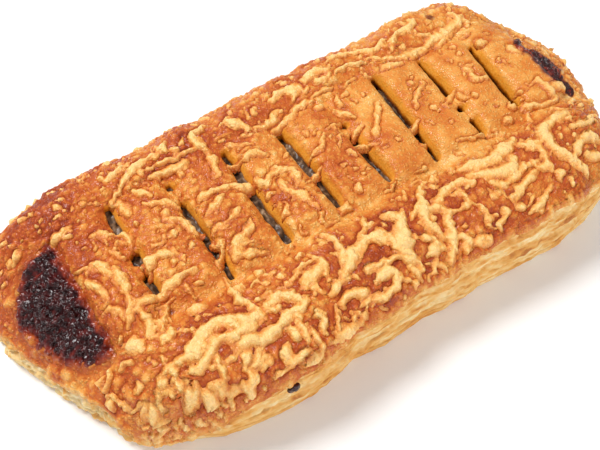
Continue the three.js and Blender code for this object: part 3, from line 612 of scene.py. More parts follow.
def edge_distance(x, y):
    """Plan distance from the crust's edge, inwards."""
    sides = np.minimum(y + HALF_WIDTH - LEAN["near"], HALF_WIDTH - LEAN["far"] - y)
    ends = np.minimum(x - left_end(y, LEAN["left"]), right_end(y, LEAN["right"]) - x)
    return np.minimum(sides, ends)


def add_shred(total, xs, ys, width, points, rng):
    """Adds one shred's height to the running sum of exponentials."""
    discs = run_on([(x, y, width / 2) for x, y in points])
    along = np.r_[0, np.cumsum(np.hypot(*np.diff(discs[:, :2], axis=0).T))]
    tip = np.minimum(along, along[-1] - along)
    row = np.full_like(along, rng.uniform(0, 99))
    uneven = 1 + 0.2 * noise(along, row, 2.8, 41) + 0.14 * noise(along, row, 1.1, 44)
    radius = discs[:, 2] * uneven * mix(0.72, 1, smooth(0, width, tip))
    radius = radius if along[-1] > width else discs[:, 2] * uneven
    height = min(0.26 * width + 0.42, HIGHEST_SHRED)
    low = discs[:, :2].min(0) - width / 2 - SHRED_REACH
    high = discs[:, :2].max(0) + width / 2 + SHRED_REACH
    i = slice(*np.searchsorted(xs, (low[0], high[0])))
    j = slice(*np.searchsorted(ys, (low[1], high[1])))
    x, y = np.meshgrid(xs[i], ys[j], indexing="ij")
    bent_x = x + 0.6 * noise(x, y, 2.4, 42) + 0.5 * noise(x, y, 1.2, 45)
    bent_y = y + 0.6 * noise(x, y, 2.4, 43) + 0.5 * noise(x, y, 1.2, 46)
    best = np.full(x.shape, -9.0)
    for (cx, cy), r in zip(discs[:, :2], radius):
        ratio = np.hypot(bent_x - cx, bent_y - cy) / r
        best = np.maximum(best, height * (r / (width / 2)) * (1 - ratio**FLANK))
    total[i, j] += np.exp(np.maximum(best, NO_CHEESE) / MELT)


def small_drops(rng, cheese):
    """Small drops and crumbs of cheese where no shred lies: (width, point, point)."""
    drops = []
    while len(drops) < DROPS:
        x, y = rng.uniform(LEFT_TIP, RIGHT_TIP), rng.uniform(-HALF_WIDTH - 6, HALF_WIDTH)
        density = 0.2 + 0.8 * (y < -16) + 0.35 * (y > 22) + 0.15 * (x < -40) + 0.5 * (x > 83)
        if rng.uniform() > density or cheese.at(x, y) > -0.6 or cheese.at(x, y, cheese.room) < 1.0:
            continue
        spot = np.array([x]), np.array([y])
        if scab_field(*spot) > -2.5 or band_field(*spot) > -0.6 or max(lip_nearness(*spot)) > 0.1:
            continue
        width = rng.choice(DROP_WIDTHS, p=DROP_SHARES)
        turn, reach = rng.uniform(0, np.pi), rng.exponential(0.2) * width
        drops.append((width, (x, y), (x + reach * np.cos(turn), y + reach * np.sin(turn))))
    return drops


class CheeseField:
    """Height of the cheese over the crust on a fine grid of plan points."""

    def __init__(self, step):
        self.xs = np.arange(LEFT_TIP - GRID_PAST_LEFT, RIGHT_TIP + GRID_PAST, step)
        self.ys = np.arange(-HALF_WIDTH - GRID_PAST_NEAR, HALF_WIDTH + GRID_PAST, step)
        self.step = step
        total = np.zeros((len(self.xs), len(self.ys)))
        self.room = room_to_edge(*np.meshgrid(self.xs, self.ys, indexing="ij"))
        rng = np.random.default_rng(CHEESE_SEED)
        for width, *points in SHREDS:
            add_shred(total, self.xs, self.ys, width, points, rng)
        self.height = self.from_total(total)
        for width, *points in small_drops(rng, self):
            add_shred(total, self.xs, self.ys, width, points, rng)
        self.height = np.minimum(self.from_total(total), self.room * 1.2 - 0.5)

    @staticmethod
    def from_total(total):
        """Height of the melted shreds, from the sum of their exponentials."""
        return np.where(total > 0, MELT * np.log(np.maximum(total, 1e-12)), NO_CHEESE)

    def at(self, x, y, values=None):
        """Height at plan points, or another of the grid's values, read off between its points."""
        u = np.clip((np.asarray(x) - self.xs[0]) / self.step, 0, len(self.xs) - 1.001)
        v = np.clip((np.asarray(y) - self.ys[0]) / self.step, 0, len(self.ys) - 1.001)
        i, j = np.floor(u).astype(int), np.floor(v).astype(int)
        h = self.height if values is None else values
        low = mix(h[i, j], h[i + 1, j], u - i)
        high = mix(h[i, j + 1], h[i + 1, j + 1], u - i)
        return mix(low, high, v - j)


# ---- where the crust is dark or pale ---------------------------------------------------
def browning_and_highlights(x, y):
    """0 where the crust is palest and 1 where it is baked darkest; the droplets' tops are paler,
    partly painted highlight.
    """
    near = smooth(-15, -22, y)
    far = smooth(21, 30, y)
    right = smooth(-10, 45, x)
    shade = 0.53 + 0.12 * near + 0.08 * far - 0.20 * right * (1 - near) * (1 - 0.4 * far)
    shade = shade - 0.08 * near * smooth(10, 60, x)
    shade = shade + 0.19 * smooth(-45, -75, x) * smooth(8, 28, y)
    shade = shade - 0.06 * far * smooth(10, 60, x)
    shade = shade - 0.16 * bell(y - NEAR_CREASE_Y, 3.2) * smooth(60, 20, x)
    shade = shade + 0.16 * smooth(76, 88, x) - 0.10 * bell(y - 8, 9) * bell(x - 88, 5)
    shade = shade - 0.12 * smooth(-52, -80, x) * smooth(-10, -24, y)
    shade = shade + 0.12 * noise(x, y, 13, 51) + 0.10 * noise(x, y, 5.5, 52)
    shade = shade + 0.08 * noise(x, y, 2.4, 53)
    strips = smooth(-17, -12, y) * smooth(25, 20, y)
    shade = shade - 0.08 * strips * smooth(-62, -50, x) * smooth(10, -5, x)
    shade = shade - 0.10 * strips * (1 - across_strip(x, y)) * smooth(-60, -20, x)
    # the droplets' tops are drawn paler: partly their own paler colour, partly painted highlight
    return np.clip(shade + 0.14 - 0.55 * roughened(x, y) * droplets(x, y), 0, 1)


# ---- grids and closed rims ----------------------------------------------------------
CROWDED_SHARE = 0.25  # of the rows lie closer and closer together towards the edge
CORNER_SPLIT = -33  # below this y the near left corner counts as part of the near edge


def crowded(t):
    """Shares from 0 to 1 that start off close together."""
    slope = 1 / (1 - CROWDED_SHARE / 2)
    close = slope * t * t / (2 * CROWDED_SHARE)
    return np.where(t < CROWDED_SHARE, close, slope * (t - CROWDED_SHARE / 2))


class PlanGrid:
    """Columns along the slice and rows across it that follow the cuts and the ends."""

    CUT_STEPS = 3
    CUT_ROOM = 3  # taken off a strip's length for the cuts beside it
    ZONE_LENGTHS = (28, 34, 20)  # near border, cuts, far border

    def __init__(self, step, insets):
        lengths = [abs(LEFT_TIP - CUTS[0].x + CUTS[0].gape * 0.4)]
        lengths += [b.x - a.x - self.CUT_ROOM for a, b in zip(CUTS[:-1], CUTS[1:])]
        lengths += [RIGHT_TIP - CUTS[-1].x]
        stretch, across, self.cut_starts = [], [], []
        for k, length in enumerate(lengths):
            n = int(length / step)
            stretch += [2 * k] * n
            across += [i / n for i in range(n)]
            if k < len(CUTS):
                self.cut_starts.append(len(stretch))
                stretch += [2 * k + 1] * self.CUT_STEPS
                across += [i / self.CUT_STEPS for i in range(self.CUT_STEPS)]
        stretch.append(2 * len(CUTS))
        across.append(1.0)
        zone, along = [], []
        for z, length in enumerate(self.ZONE_LENGTHS):
            n = int(length / step)
            zone += [z] * n
            along += [i / n for i in range(n)]
        zone.append(2)
        along.append(1.0)
        self.cut_rows = (zone.index(1), zone.index(2))
        self.x, self.y = self.points(
            np.array(stretch), np.array(across), np.array(zone), np.array(along), insets
        )
        self.shape = self.x.shape

    @staticmethod
    def near_feet(share, insets):
        """Y of the near edge, with the near left corner, at each column's share of its length."""
        half = HALF_WIDTH - insets["near"]
        ys = np.linspace(CORNER_SPLIT, -half, 400)
        outline = left_end(ys, insets["left"], half)
        feet = np.full_like(share, -half)
        for _ in range(8):
            x = mix(outline[0], right_end(feet, insets["right"], half), share)
            feet = np.interp(x, outline, ys)
        return feet

    @staticmethod
    def points(stretch, across, zone, along, insets):
        """Plan points: the columns follow the cuts, and spread out beyond their ends."""
        middles = np.array([LEFT_TIP, *np.repeat([c.x for c in CUTS], 2), RIGHT_TIP])
        nominal = mix(middles[stretch], middles[stretch + 1], across)
        xs = [c.x for c in CUTS]
        near = np.interp(nominal, xs, [c.near for c in CUTS])[:, None]
        far = np.interp(nominal, xs, [c.far for c in CUTS])[:, None]
        left0 = left_end(0, insets["left"], HALF_WIDTH)
        right0 = right_end(0, insets["right"], HALF_WIDTH)
        lines = [c.x + side * CLOSED_WIDTH / 2 for c in CUTS for side in (-1, 1)]
        shares = np.array([0, *((np.array(lines) - left0) / (right0 - left0)), 1])
        share = mix(shares[stretch], shares[stretch + 1], across)
        near_edge = PlanGrid.near_feet(share, insets)[:, None]
        far_edge = np.full_like(far, HALF_WIDTH - insets["far"])
        lows, highs = np.stack([near_edge, near, far]), np.stack([near, far, far_edge])
        index = np.arange(len(stretch))[:, None]
        along = np.choose(zone, [crowded(along), along, 1 - crowded(1 - along)])
        y = mix(lows[zone[None, :], index, 0], highs[zone[None, :], index, 0], along[None, :])
        half = np.where(y < 0, HALF_WIDTH - insets["near"], HALF_WIDTH - insets["far"])
        left = left_end(np.maximum(y, CORNER_SPLIT), insets["left"], half)
        right = right_end(y, insets["right"], half)
        free = np.where(y < near, smooth(0, 1, (near - y) / (near - near_edge)),
                        smooth(0, 1, (y - far) / (far_edge - far)))
        free = np.where((y >= near) & (y <= far), 0, free)
        blend = np.clip(free * LINES_SPREAD, 0, 1)
        knots = [left]
        for k, cut in enumerate(CUTS):
            for line, line_share in zip(cut_edges(cut, y), shares[2 * k + 1 : 2 * k + 3]):
                knots.append(mix(line, mix(left, right, line_share), blend))
        knots = np.stack([*knots, right])
        j = np.arange(y.shape[1])[None, :]
        x = mix(knots[stretch[:, None], index, j], knots[stretch[:, None] + 1, index, j],
                across[:, None])
        return x, y

    def index(self, c, r):
        return c * self.shape[1] + r

    def rim(self, c0, c1, r0, r1):
        """Grid indices round a block of cells, anticlockwise from above."""
        loop = [self.index(c, r0) for c in range(c0, c1)]
        loop += [self.index(c1, r) for r in range(r0, r1)]
        loop += [self.index(c, r1) for c in range(c1, c0, -1)]
        loop += [self.index(c0, r) for r in range(r1, r0, -1)]
        return np.array(loop)

    def outer_rim(self):
        """Grid indices along the crust's edge."""
        return self.rim(0, self.shape[0] - 1, 0, self.shape[1] - 1)

    def cut_rims(self):
        """Grid indices round the opening of each cut."""
        r0, r1 = self.cut_rows
        return [self.rim(c, c + self.CUT_STEPS, r0, r1) for c in self.cut_starts]

    def quads(self):
        """All cells but the open ones, as corner indices anticlockwise from above."""
        c, r = np.meshgrid(*(np.arange(n - 1) for n in self.shape), indexing="ij")
        keep = np.ones(c.shape, bool)
        r0, r1 = self.cut_rows
        for start in self.cut_starts:
            keep[start : start + self.CUT_STEPS, r0:r1] = False
        a = self.index(c, r)[keep]
        n = self.shape[1]
        return np.stack([a, a + n, a + n + 1, a + 1], 1)


def outwards(points, spread=3):
    """Outward direction in plan at each point of an anticlockwise loop."""
    before, after = np.roll(points, spread, 0), np.roll(points, -spread, 0)
    step = (after - before)[:, :2]
    normal = np.stack([step[:, 1], -step[:, 0]], 1)
    return normal / np.maximum(np.linalg.norm(normal, axis=1, keepdims=True), 1e-9)


def ring_quads(upper, lower):
    """Quads between two rings of indices, facing out of an anticlockwise loop."""
    return np.stack([upper, lower, np.roll(lower, -1), np.roll(upper, -1)], 1)


def arc_length(points):
    """Length along a closed loop at each point, and its whole length."""
    steps = np.linalg.norm(np.diff(points[:, :2], axis=0, append=points[:1, :2]), axis=1)
    return np.r_[0, np.cumsum(steps)[:-1]], steps.sum()


def closed_noise(u, length, v, size_u, size_v, seed):
    """Noise along a closed loop of this length, with no seam where it closes."""
    join = smooth(length - 15, length, u)
    here = noise(u / size_u, v / size_v, 1, seed)
    return mix(here, noise((u - length) / size_u, v / size_v, 1, seed), join)


class Surface:
    """Points, faces and point values of a piece while it is put together."""

    def __init__(self):
        self.points, self.quads, self.polygons, self.values = [], [], [], []
        self.count = 0

    def add_points(self, points, **values):
        first = self.count
        self.points.append(np.asarray(points, float))
        self.values.append(values)
        self.count += len(points)
        return np.arange(first, self.count)

    def add_quads(self, quads):
        self.quads.append(np.asarray(quads))

    def add_polygon(self, indices):
        self.polygons.append([int(i) for i in indices])

    def join(self, other):
        """Adds another surface's points, quads and values to this one."""
        first = self.count
        for points, values in zip(other.points, other.values):
            self.add_points(points, **values)
        for quads in other.quads:
            self.add_quads(quads + first)

    def point_value(self, name):
        """One value for each point, 0 where it wasn't given."""
        parts = []
        for points, values in zip(self.points, self.values):
            value = values.get(name, 0.0)
            parts.append(np.broadcast_to(np.asarray(value, float), len(points)))
        return np.concatenate(parts)

    def make(self, name, material, slot, nodes):
        """The finished piece: it rides on the slice and stands for these nodes."""
        mesh = bpy.data.meshes.new(name)
        points = np.concatenate(self.points) * MM
        faces = np.concatenate(self.quads).tolist() if self.quads else []
        mesh.from_pydata(points.tolist(), [], faces + self.polygons)
        for key in sorted({k for values in self.values for k in values}):
            layer = mesh.attributes.new(key, "FLOAT", "POINT")
            layer.data.foreach_set("value", self.point_value(key).astype(np.float32))
        mesh.shade_smooth()
        mesh.materials.append(material)
        mesh.validate()
        piece = bpy.data.objects.new(name, mesh)
        bpy.context.scene.collection.objects.link(piece)
        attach(piece, "root")
        if nodes:
            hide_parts(*nodes)
        return piece


STEEPEST = 2.2  # slopes steeper than this lift as if they were no steeper
TILT_STEP = 0.4  # slopes are taken over this far each way
BY_THE_EDGE = 9  # the way to the edge is worked out for points nearer to it than this
FAR_INSIDE = 20.0  # and taken as this for all others


def off_crust(x, y, height):
    """Points this far off the crust, square to it, inside its edge."""
    tilt_x = (crust(x + TILT_STEP, y) - crust(x - TILT_STEP, y)) / (2 * TILT_STEP)
    tilt_y = (crust(x, y + TILT_STEP) - crust(x, y - TILT_STEP)) / (2 * TILT_STEP)
    tilt_x, tilt_y = np.clip(tilt_x, -STEEPEST, STEEPEST), np.clip(tilt_y, -STEEPEST, STEEPEST)
    up = height / np.sqrt(1 + tilt_x**2 + tilt_y**2)
    px, py = place(x, y)
    return np.stack([px - up * tilt_x, py - up * tilt_y, crust(x, y) + up], -1)


# height of the crust's edge along the near side, where it hangs over the layers
HUNG_EDGE_X = (-80, -74, -68, -61, -58, -55, -52, -50, -47, -41, -35, -30, -22, -17,
               0, 12, 25, 45)
HUNG_EDGE_HEIGHT = (8.0, 5.0, 5.2, 6.5, 9.0, 12.4, 14.2, 15.8, 16.8, 17.8, 18.2, 19.2, 18.8, 20.2,
                    20.0, 20.2, 21.8, 24.0)
HUNG_STEPS = tuple(k / 12 for k in range(1, 13))  # shares of the way down
HUNG_REACH = 1.7  # how far out it swings on its way down
FAR_DROP = 3.2  # the crust also turns down this far along the far side and the right end
MOST_DROP, LEAST_DROP = 9.5, 0.5


def hung_edge(edge):
    """How far the crust hangs down at each point of its edge."""
    height = np.interp(edge[:, 0], HUNG_EDGE_X, HUNG_EDGE_HEIGHT)
    drop = np.clip(edge[:, 2] - height, 0, MOST_DROP) * smooth(-14, -24, edge[:, 1])
    drop = drop * smooth(-78, -72.5, edge[:, 0])
    far = np.maximum(smooth(-70, -45, edge[:, 0]) * smooth(20, 32, edge[:, 1]),
                     smooth(74, 84, edge[:, 0]) * smooth(-34, -26, edge[:, 1]))
    return np.maximum(np.maximum(drop, FAR_DROP * far), LEAST_DROP)


Rim = namedtuple("Rim", "plan out point normal drop")
RIM_STEP = 0.5


def rim_of(x, y):
    """The crust's edge through these plan points, and how far it hangs down there."""
    point = off_crust(x, y, 0)
    normal = off_crust(x, y, 1) - point
    return Rim(np.stack([x, y], 1), outwards(point, 9), point, normal, hung_edge(point))


@lru_cache(maxsize=None)
def crust_rim():
    """The crust's edge, all the way round."""
    grid = PlanGrid(RIM_STEP, LEAN)
    loop = grid.outer_rim()
    return rim_of(grid.x.ravel()[loop], grid.y.ravel()[loop])


def hung(rim, distance, height):
    """Points past the edge: this far down the hanging crust, and this far off it."""
    share = np.clip(distance / rim.drop, 0, 1)
    reach = HUNG_REACH * np.minimum(rim.drop / 2, 1) * np.sin(share * np.pi / 2)
    away = np.pad(rim.out, ((0, 0), (0, 1)))
    normal = mix(rim.normal, away, smooth(0, 0.6, share)[:, None])
    normal = normal / np.linalg.norm(normal, axis=1, keepdims=True)
    points = rim.point + away * reach[:, None] + normal * np.reshape(height, (-1, 1))
    points[:, 2] -= rim.drop * share**1.2
    return points


def nearest_on_rim(x, y):
    """Index of the nearest edge point, and how far out and along from it each point lies."""
    rim = crust_rim()
    best, index = np.full(x.shape, np.inf), np.zeros(x.shape, int)
    for k, (rim_x, rim_y) in enumerate(rim.plan):
        distance = (x - rim_x) ** 2 + (y - rim_y) ** 2
        closer = distance < best
        best[closer], index[closer] = distance[closer], k
    dx, dy = x - rim.plan[index, 0], y - rim.plan[index, 1]
    out = rim.out[index]
    return index, dx * out[:, 0] + dy * out[:, 1], dy * out[:, 0] - dx * out[:, 1]


def room_to_edge(x, y):
    """How far the crust goes on from each plan point, over its edge and down."""
    room = np.full(x.shape, FAR_INSIDE)
    near = edge_distance(x, y) < BY_THE_EDGE
    index, outside, _ = nearest_on_rim(x[near], y[near])
    room[near] = crust_rim().drop[index] - outside
    return room


def raised(x, y, height):
    """Points this far off the crust, square to it; past its edge they follow it down."""
    height = np.broadcast_to(height, x.shape)
    points = off_crust(x, y, height)
    past = edge_distance(x, y) < 3
    if past.any():
        index, outside, along = nearest_on_rim(x[past], y[past])
        past[past] = outside > 0
        index, along, outside = index[outside > 0], along[outside > 0], outside[outside > 0]
        rim = Rim(*(part[index] for part in crust_rim()))
        beyond = hung(rim, outside, height[past])
        beyond[:, :2] += along[:, None] * np.stack([-rim.out[:, 1], rim.out[:, 0]], 1)
        points[past] = beyond
    return points


def standing(x, y, z):
    """Points at these heights over these plan points."""
    px, py = place(x, y)
    return np.stack([px, py, np.broadcast_to(z, px.shape)], -1)


def slab(top, bottom, keep, **values):
    """A closed body over the cells that are kept, between two grids of points."""
    body = Surface()
    used = np.zeros(top.shape[:2], bool)
    for di, dj in product((0, 1), repeat=2):
        used[di : di + keep.shape[0], dj : dj + keep.shape[1]] |= keep
    number = np.full(used.shape, -1)
    number[used] = np.arange(used.sum())
    point_values = {key: np.asarray(v)[used] for key, v in values.items()}
    body.add_points(top[used], **point_values)
    body.add_points(bottom[used], **point_values)
    corners = [number[:-1, :-1], number[1:, :-1], number[1:, 1:], number[:-1, 1:]]
    upper = np.stack([c[keep] for c in corners], 1)
    body.add_quads(upper)
    body.add_quads(upper[:, ::-1] + used.sum())
    padded = np.pad(keep, 1)
    for k, (di, dj) in enumerate(((0, -1), (1, 0), (0, 1), (-1, 0))):
        beside = padded[1 + di : 1 + di + keep.shape[0], 1 + dj : 1 + dj + keep.shape[1]]
        open_side = keep & ~beside
        a, b = corners[k][open_side], corners[(k + 1) % 4][open_side]
        body.add_quads(np.stack([b, a, a + used.sum(), b + used.sum()], 1))
    return body


# ---- the pieces ------------------------------------------------------------------------
# the rim under the crust's edge: how far out and how far down, step by step
LIP = ((0.28, 0.3), (0.34, 0.7), (0.05, 1.1), (-0.9, 1.35), (-2.1, 1.5))


def drawn_in(edge):
    """1 at the near left corner, where the side stands back under the crust."""
    return smooth(-46, -66, edge[:, 0]) * smooth(6, -20, edge[:, 1])


def ragged(u, length, z, edge):
    """Crumbly unevenness of the torn dough along the left end."""
    rough = closed_noise(u, length, z, 2.2, 1.4, 64)
    rough = rough + 0.6 * closed_noise(u, length, z, 0.9, 0.8, 65)
    return 0.9 * rough * smooth(-60, -76, edge[:, 0]) * smooth(24, 14, edge[:, 1])


# wall of a cut below the crust's edge: how far into the opening and how far down
CUT_WALL = ((0.1, 0.35), (0.12, 0.9), (0.08, 1.8), (0.0, 3.0), (-0.1, 4.2), (-0.3, 5.8))
# the crust turns down at the left lip of each cut, and more at the right lip
LEFT_LIP_SAG, LEFT_LIP_REACH = 0.6, 0.8
RIGHT_LIP_SAG, RIGHT_LIP_REACH = 1.5, 1.1


def lip_nearness(x, y):
    """1 at the left and the right lip of a cut, falling off away from it."""
    near_left, near_right = np.zeros(np.shape(x)), np.zeros(np.shape(x))
    for cut in CUTS:
        ends = smooth(cut.near - 0.8, cut.near + 1.6, y) * smooth(cut.far + 0.8, cut.far - 1.6, y)
        ends = ends * (shut_share(cut, y) - SHUT_SHARE) / (1 - SHUT_SHARE)
        if cut.gape:
            ends = 0.6 * ends
        left, right = cut_edges(cut, y)
        left_share = bell(np.minimum(x - left, 0), LEFT_LIP_REACH) * (x < right)
        right_share = np.clip(1 - (x - right) / RIGHT_LIP_REACH, 0, 1) * (x > left)
        near_left = np.maximum(near_left, ends * left_share)
        near_right = np.maximum(near_right, ends * right_share)
    return near_left, near_right


def edge_sag(x, y):
    """How far the crust has sunk at the lips of the cuts."""
    near_left, near_right = lip_nearness(x, y)
    return np.maximum(LEFT_LIP_SAG * near_left, RIGHT_LIP_SAG * near_right)


def crust_shade(x, y, cheese):
    """Point values of the crust: baked, with paler droplet tops that are partly painted highlight,
    burnt, and painted shade beside the cheese.
    """
    return {
        "bake": browning_and_highlights(x, y),
        "char": charring(x, y),
        # beside: the crust is drawn darker next to the cheese, painted shade at the cheese's edges
        "beside": smooth(-2.2, 0.1, cheese.at(x, y)),
    }


UNDER_CHEESE = 0.35  # the crust is pressed in this far below the cheese
PALER_WHERE_HUNG = 0.22  # the hanging crust bakes less towards its end


def crust_height(x, y, cheese, flat=0.0):
    """Relief of the crust, smoothed away by flat and pressed in below the cheese."""
    covered = smooth(-0.5, 0.2, cheese.at(x, y))
    return relief(x, y) * (1 - flat) * (1 - covered) - UNDER_CHEESE * covered


def hang_down(body, x, y, loop, cheese):
    """Adds the crust that hangs below the outer edge, and returns its last ring."""
    rim = rim_of(x[loop], y[loop])
    upper = loop
    for share in HUNG_STEPS:
        far_x = x[loop] + rim.out[:, 0] * rim.drop * share
        far_y = y[loop] + rim.out[:, 1] * rim.drop * share
        edge = hung(rim, rim.drop * share, crust_height(far_x, far_y, cheese))
        values = crust_shade(far_x, far_y, cheese)
        values["bake"] = values["bake"] - PALER_WHERE_HUNG * share
        lower = body.add_points(edge, wall=0.0, **values)
        body.add_quads(ring_quads(upper, lower))
        upper = lower
    return edge, rim.out, values, upper


def build_crust(step, material, cheese):
    """The crust, with the walls of its cuts and the edge that hangs over the layers."""
    grid = PlanGrid(step, LEAN)
    x, y = grid.x.ravel(), grid.y.ravel()
    lips = np.maximum(*lip_nearness(x, y))
    top = raised(x, y, crust_height(x, y, cheese, 0.7 * lips))
    top[:, 2] -= edge_sag(x, y)
    body = Surface()
    shade = crust_shade(x, y, cheese)
    golden = smooth(0.02, 0.3, lip_nearness(x, y)[1]) * smooth(-67, -60, x)
    body.add_points(top, wall=golden, **shade)
    body.add_quads(grid.quads())
    rims = [(grid.outer_rim(), LIP)]
    rims += [(loop[::-1], CUT_WALL) for loop in grid.cut_rims()]
    for number, (loop, profile) in enumerate(rims):
        is_cut, gapes = number > 0, number == 1
        edge, out, upper = top[loop], outwards(top[loop]), loop
        u, length = arc_length(edge)
        values = {key: v[loop] for key, v in shade.items()}
        if not is_cut:
            edge, out, values, upper = hang_down(body, x, y, loop, cheese)
        for k, (reach, down) in enumerate(profile):
            rough = 0.16 * closed_noise(u, length, down, 1.6, 0.7, 61 + k)
            ring = edge.copy()
            ring[:, :2] += out * (reach + rough * min(k, 2))[:, None]
            ring[:, 2] -= down
            values = dict(values, wall=smooth(-58, -74, edge[:, 0]) * min(1, down), deep=0.0)
            if is_cut:
                values["wall"] = mix(golden[loop], 1, min(1, down))
                # painted shade down the cut walls, stronger towards the right end
                values["deep"] = min(1, down / 2.2) * mix(0.6, 1.25, smooth(0, 40, edge[:, 0]))
            if gapes:
                values["char"] = np.maximum(values["char"], 0.3)
            lower = body.add_points(ring, **values)
            body.add_quads(ring_quads(upper, lower))
            upper = lower
    return body.make("baked_crust", material, "lid_pastry", ["lid_pastry"])


# the lid's side below the crust: share of the way down, and out from a straight line
SIDE_PROFILE = ((0.0, -0.7), (0.1, -0.2), (0.24, -0.5), (0.36, 0.1), (0.5, 0.4),
                (0.64, -0.2), (0.72, -0.5), (0.86, 0.5), (1.0, 0.0))
BUNDLE, SHEET = 2.7, 0.85  # heights of a bundle of baked layers and of one layer
ROWS_PER_STEP = 27  # rows of the side's mesh, for a step of 1 mm
CRUST_LAP = 0.7  # the side starts this far below the crust's surface
FULL_HEIGHT = 14  # a side this high has the full relief


def layered(u, length, z):
    """Relief and tones of flaky layers at loop length u and height z."""
    drift = 1.1 * closed_noise(u, length, 0 * z, 26, 1, 71)
    drift = drift + 0.5 * closed_noise(u, length, 0 * z, 9, 1, 72)
    drift = drift + 0.3 * closed_noise(u, length, z, 3.5, 2, 79)
    s, t = (z + drift) / BUNDLE, (z + drift) / SHEET
    part, sheet_part = s - np.floor(s), t - np.floor(t)
    push = closed_noise(u, length, np.floor(s) * 1.7, 9, 1, 73)
    sheet_push = closed_noise(u, length, np.floor(t) * 1.3, 5, 1, 78)
    crumbs = closed_noise(u, length, z, 2.0, 0.9, 76)
    crumbs = crumbs + 0.7 * closed_noise(u, length, z, 0.9, 0.7, 74)
    groove = bell(np.minimum(part, 1 - part) * BUNDLE, 0.26)
    groove = groove * smooth(-0.5, 0.4, closed_noise(u, length, np.floor(s), 6, 1, 75))
    out = 0.5 * (1 - np.abs(2 * part - 1) ** 3) + 0.45 * push - 0.6 * groove
    out = out + 0.26 * (1 - (2 * sheet_part - 1) ** 2) + 0.34 * sheet_push + 0.24 * crumbs
    tone = 0.5 + 0.34 * sheet_push + 0.2 * push + 0.2 * closed_noise(u, length, z, 14, 3, 77)
    tone = tone - 0.16 * crumbs
    return out, tone, groove


def build_layered_side(step, material):
    """The open layers between the crust's edge and the lower sheet."""
    top_grid = PlanGrid(step, LEAN)
    loop = top_grid.outer_rim()
    x, y = top_grid.x.ravel()[loop], top_grid.y.ravel()[loop]
    px, py = place(x, y)
    edge = np.stack([px, py, surface(x, y) - CRUST_LAP], 1)
    foot_grid = PlanGrid(step, dict.fromkeys(LEAN, GAP))
    fx, fy = place(foot_grid.x.ravel()[loop], foot_grid.y.ravel()[loop])
    foot = np.stack([fx, fy, np.full(len(fx), SEAM + GAP - 0.2)], 1)
    out = outwards(foot)
    u, length = arc_length(foot)
    body, upper = Surface(), None
    rows = int(ROWS_PER_STEP / step)
    full = np.clip((edge[:, 2] - foot[:, 2]) / FULL_HEIGHT, 0.12, 1)
    for k in range(rows + 1):
        share = k / rows
        ring = mix(edge, foot, share)
        relief_out, tone, groove = layered(u, length, ring[:, 2])
        profile = np.interp(share, *zip(*SIDE_PROFILE))
        fade = min(1, share / 0.08, (1 - share) / 0.04 + 0.3)
        push = (profile + relief_out * fade) * full - 0.5 * drawn_in(foot) * fade
        ring[:, :2] += out * (push + ragged(u, length, ring[:, 2], foot) * fade)[:, None]
        tone = tone - 0.32 * smooth(0.34, 0.1, share) + 0.1 * smooth(0.35, 0.6, share)
        tone = tone - 0.15 * smooth(-60, -74, foot[:, 0])
        lower = body.add_points(ring, tone=tone, groove=groove)
        if upper is not None:
            body.add_quads(ring_quads(upper, lower))
        upper = lower
    return body.make("flaky_side", material, "lid_pastry", [])


# the lower sheet's side: height, and how far out from the plan's outline
SHEET_PROFILE = ((5.2, -0.5), (4.6, 0.1), (3.6, 0.0), (2.4, 0.25), (1.2, 0.1), (0.35, -0.3),
                 (0.0, -1.3))
SHEET_ROW = 0.36  # height of a row of its mesh


def build_lower_sheet(step, material):
    """The lower sheet of pastry, with a flat resting face."""
    grid = PlanGrid(step, NO_LEAN)
    loop = grid.outer_rim()
    x, y = grid.x.ravel()[loop], grid.y.ravel()[loop]
    px, py = place(x, y)
    edge = np.stack([px, py, np.zeros(len(px))], 1)
    out = outwards(edge)
    u, length = arc_length(edge)
    edge[:, :2] += out * (0.45 * closed_noise(u, length, 0 * u, 11, 1, 81))[:, None]
    body, rings = Surface(), []
    heights = np.linspace(SEAM, 0, 1 + int(SEAM / SHEET_ROW))
    for z in heights:
        profile = np.interp(z, *zip(*SHEET_PROFILE[::-1]))
        relief_out, tone, groove = layered(u, length, np.full_like(u, z))
        fade = smooth(0, 0.6, z)
        ring = edge.copy()
        push = profile + 0.5 * (relief_out - 0.4) * fade - 0.7 * drawn_in(edge)
        ring[:, :2] += out * (push + ragged(u, length, z, edge) * fade)[:, None]
        ring[:, 2] = z
        tone = tone - 0.1 * smooth(-60, -74, edge[:, 0])
        rings.append(body.add_points(ring, tone=tone, groove=groove))
        if len(rings) > 1:
            body.add_quads(ring_quads(rings[-2], rings[-1]))
    body.add_polygon(rings[0])
    body.add_polygon(rings[-1][::-1])
    return body.make("lower_sheet", material, "base_pastry", ["base_pastry"])


FILLING_LEAST = 1.6  # it never comes nearer to the crust's surface than this
FILLING_DEPTH_RIGHT = 5.6  # it lies deeper under the last cuts
FILLING_NEAR, FILLING_FAR = -17.5, 26.5
FILLING_LEFT, FILLING_RIGHT = 6.5, 7.5  # in from the ends
FILLING_LENGTH = 170  # for the number of its columns


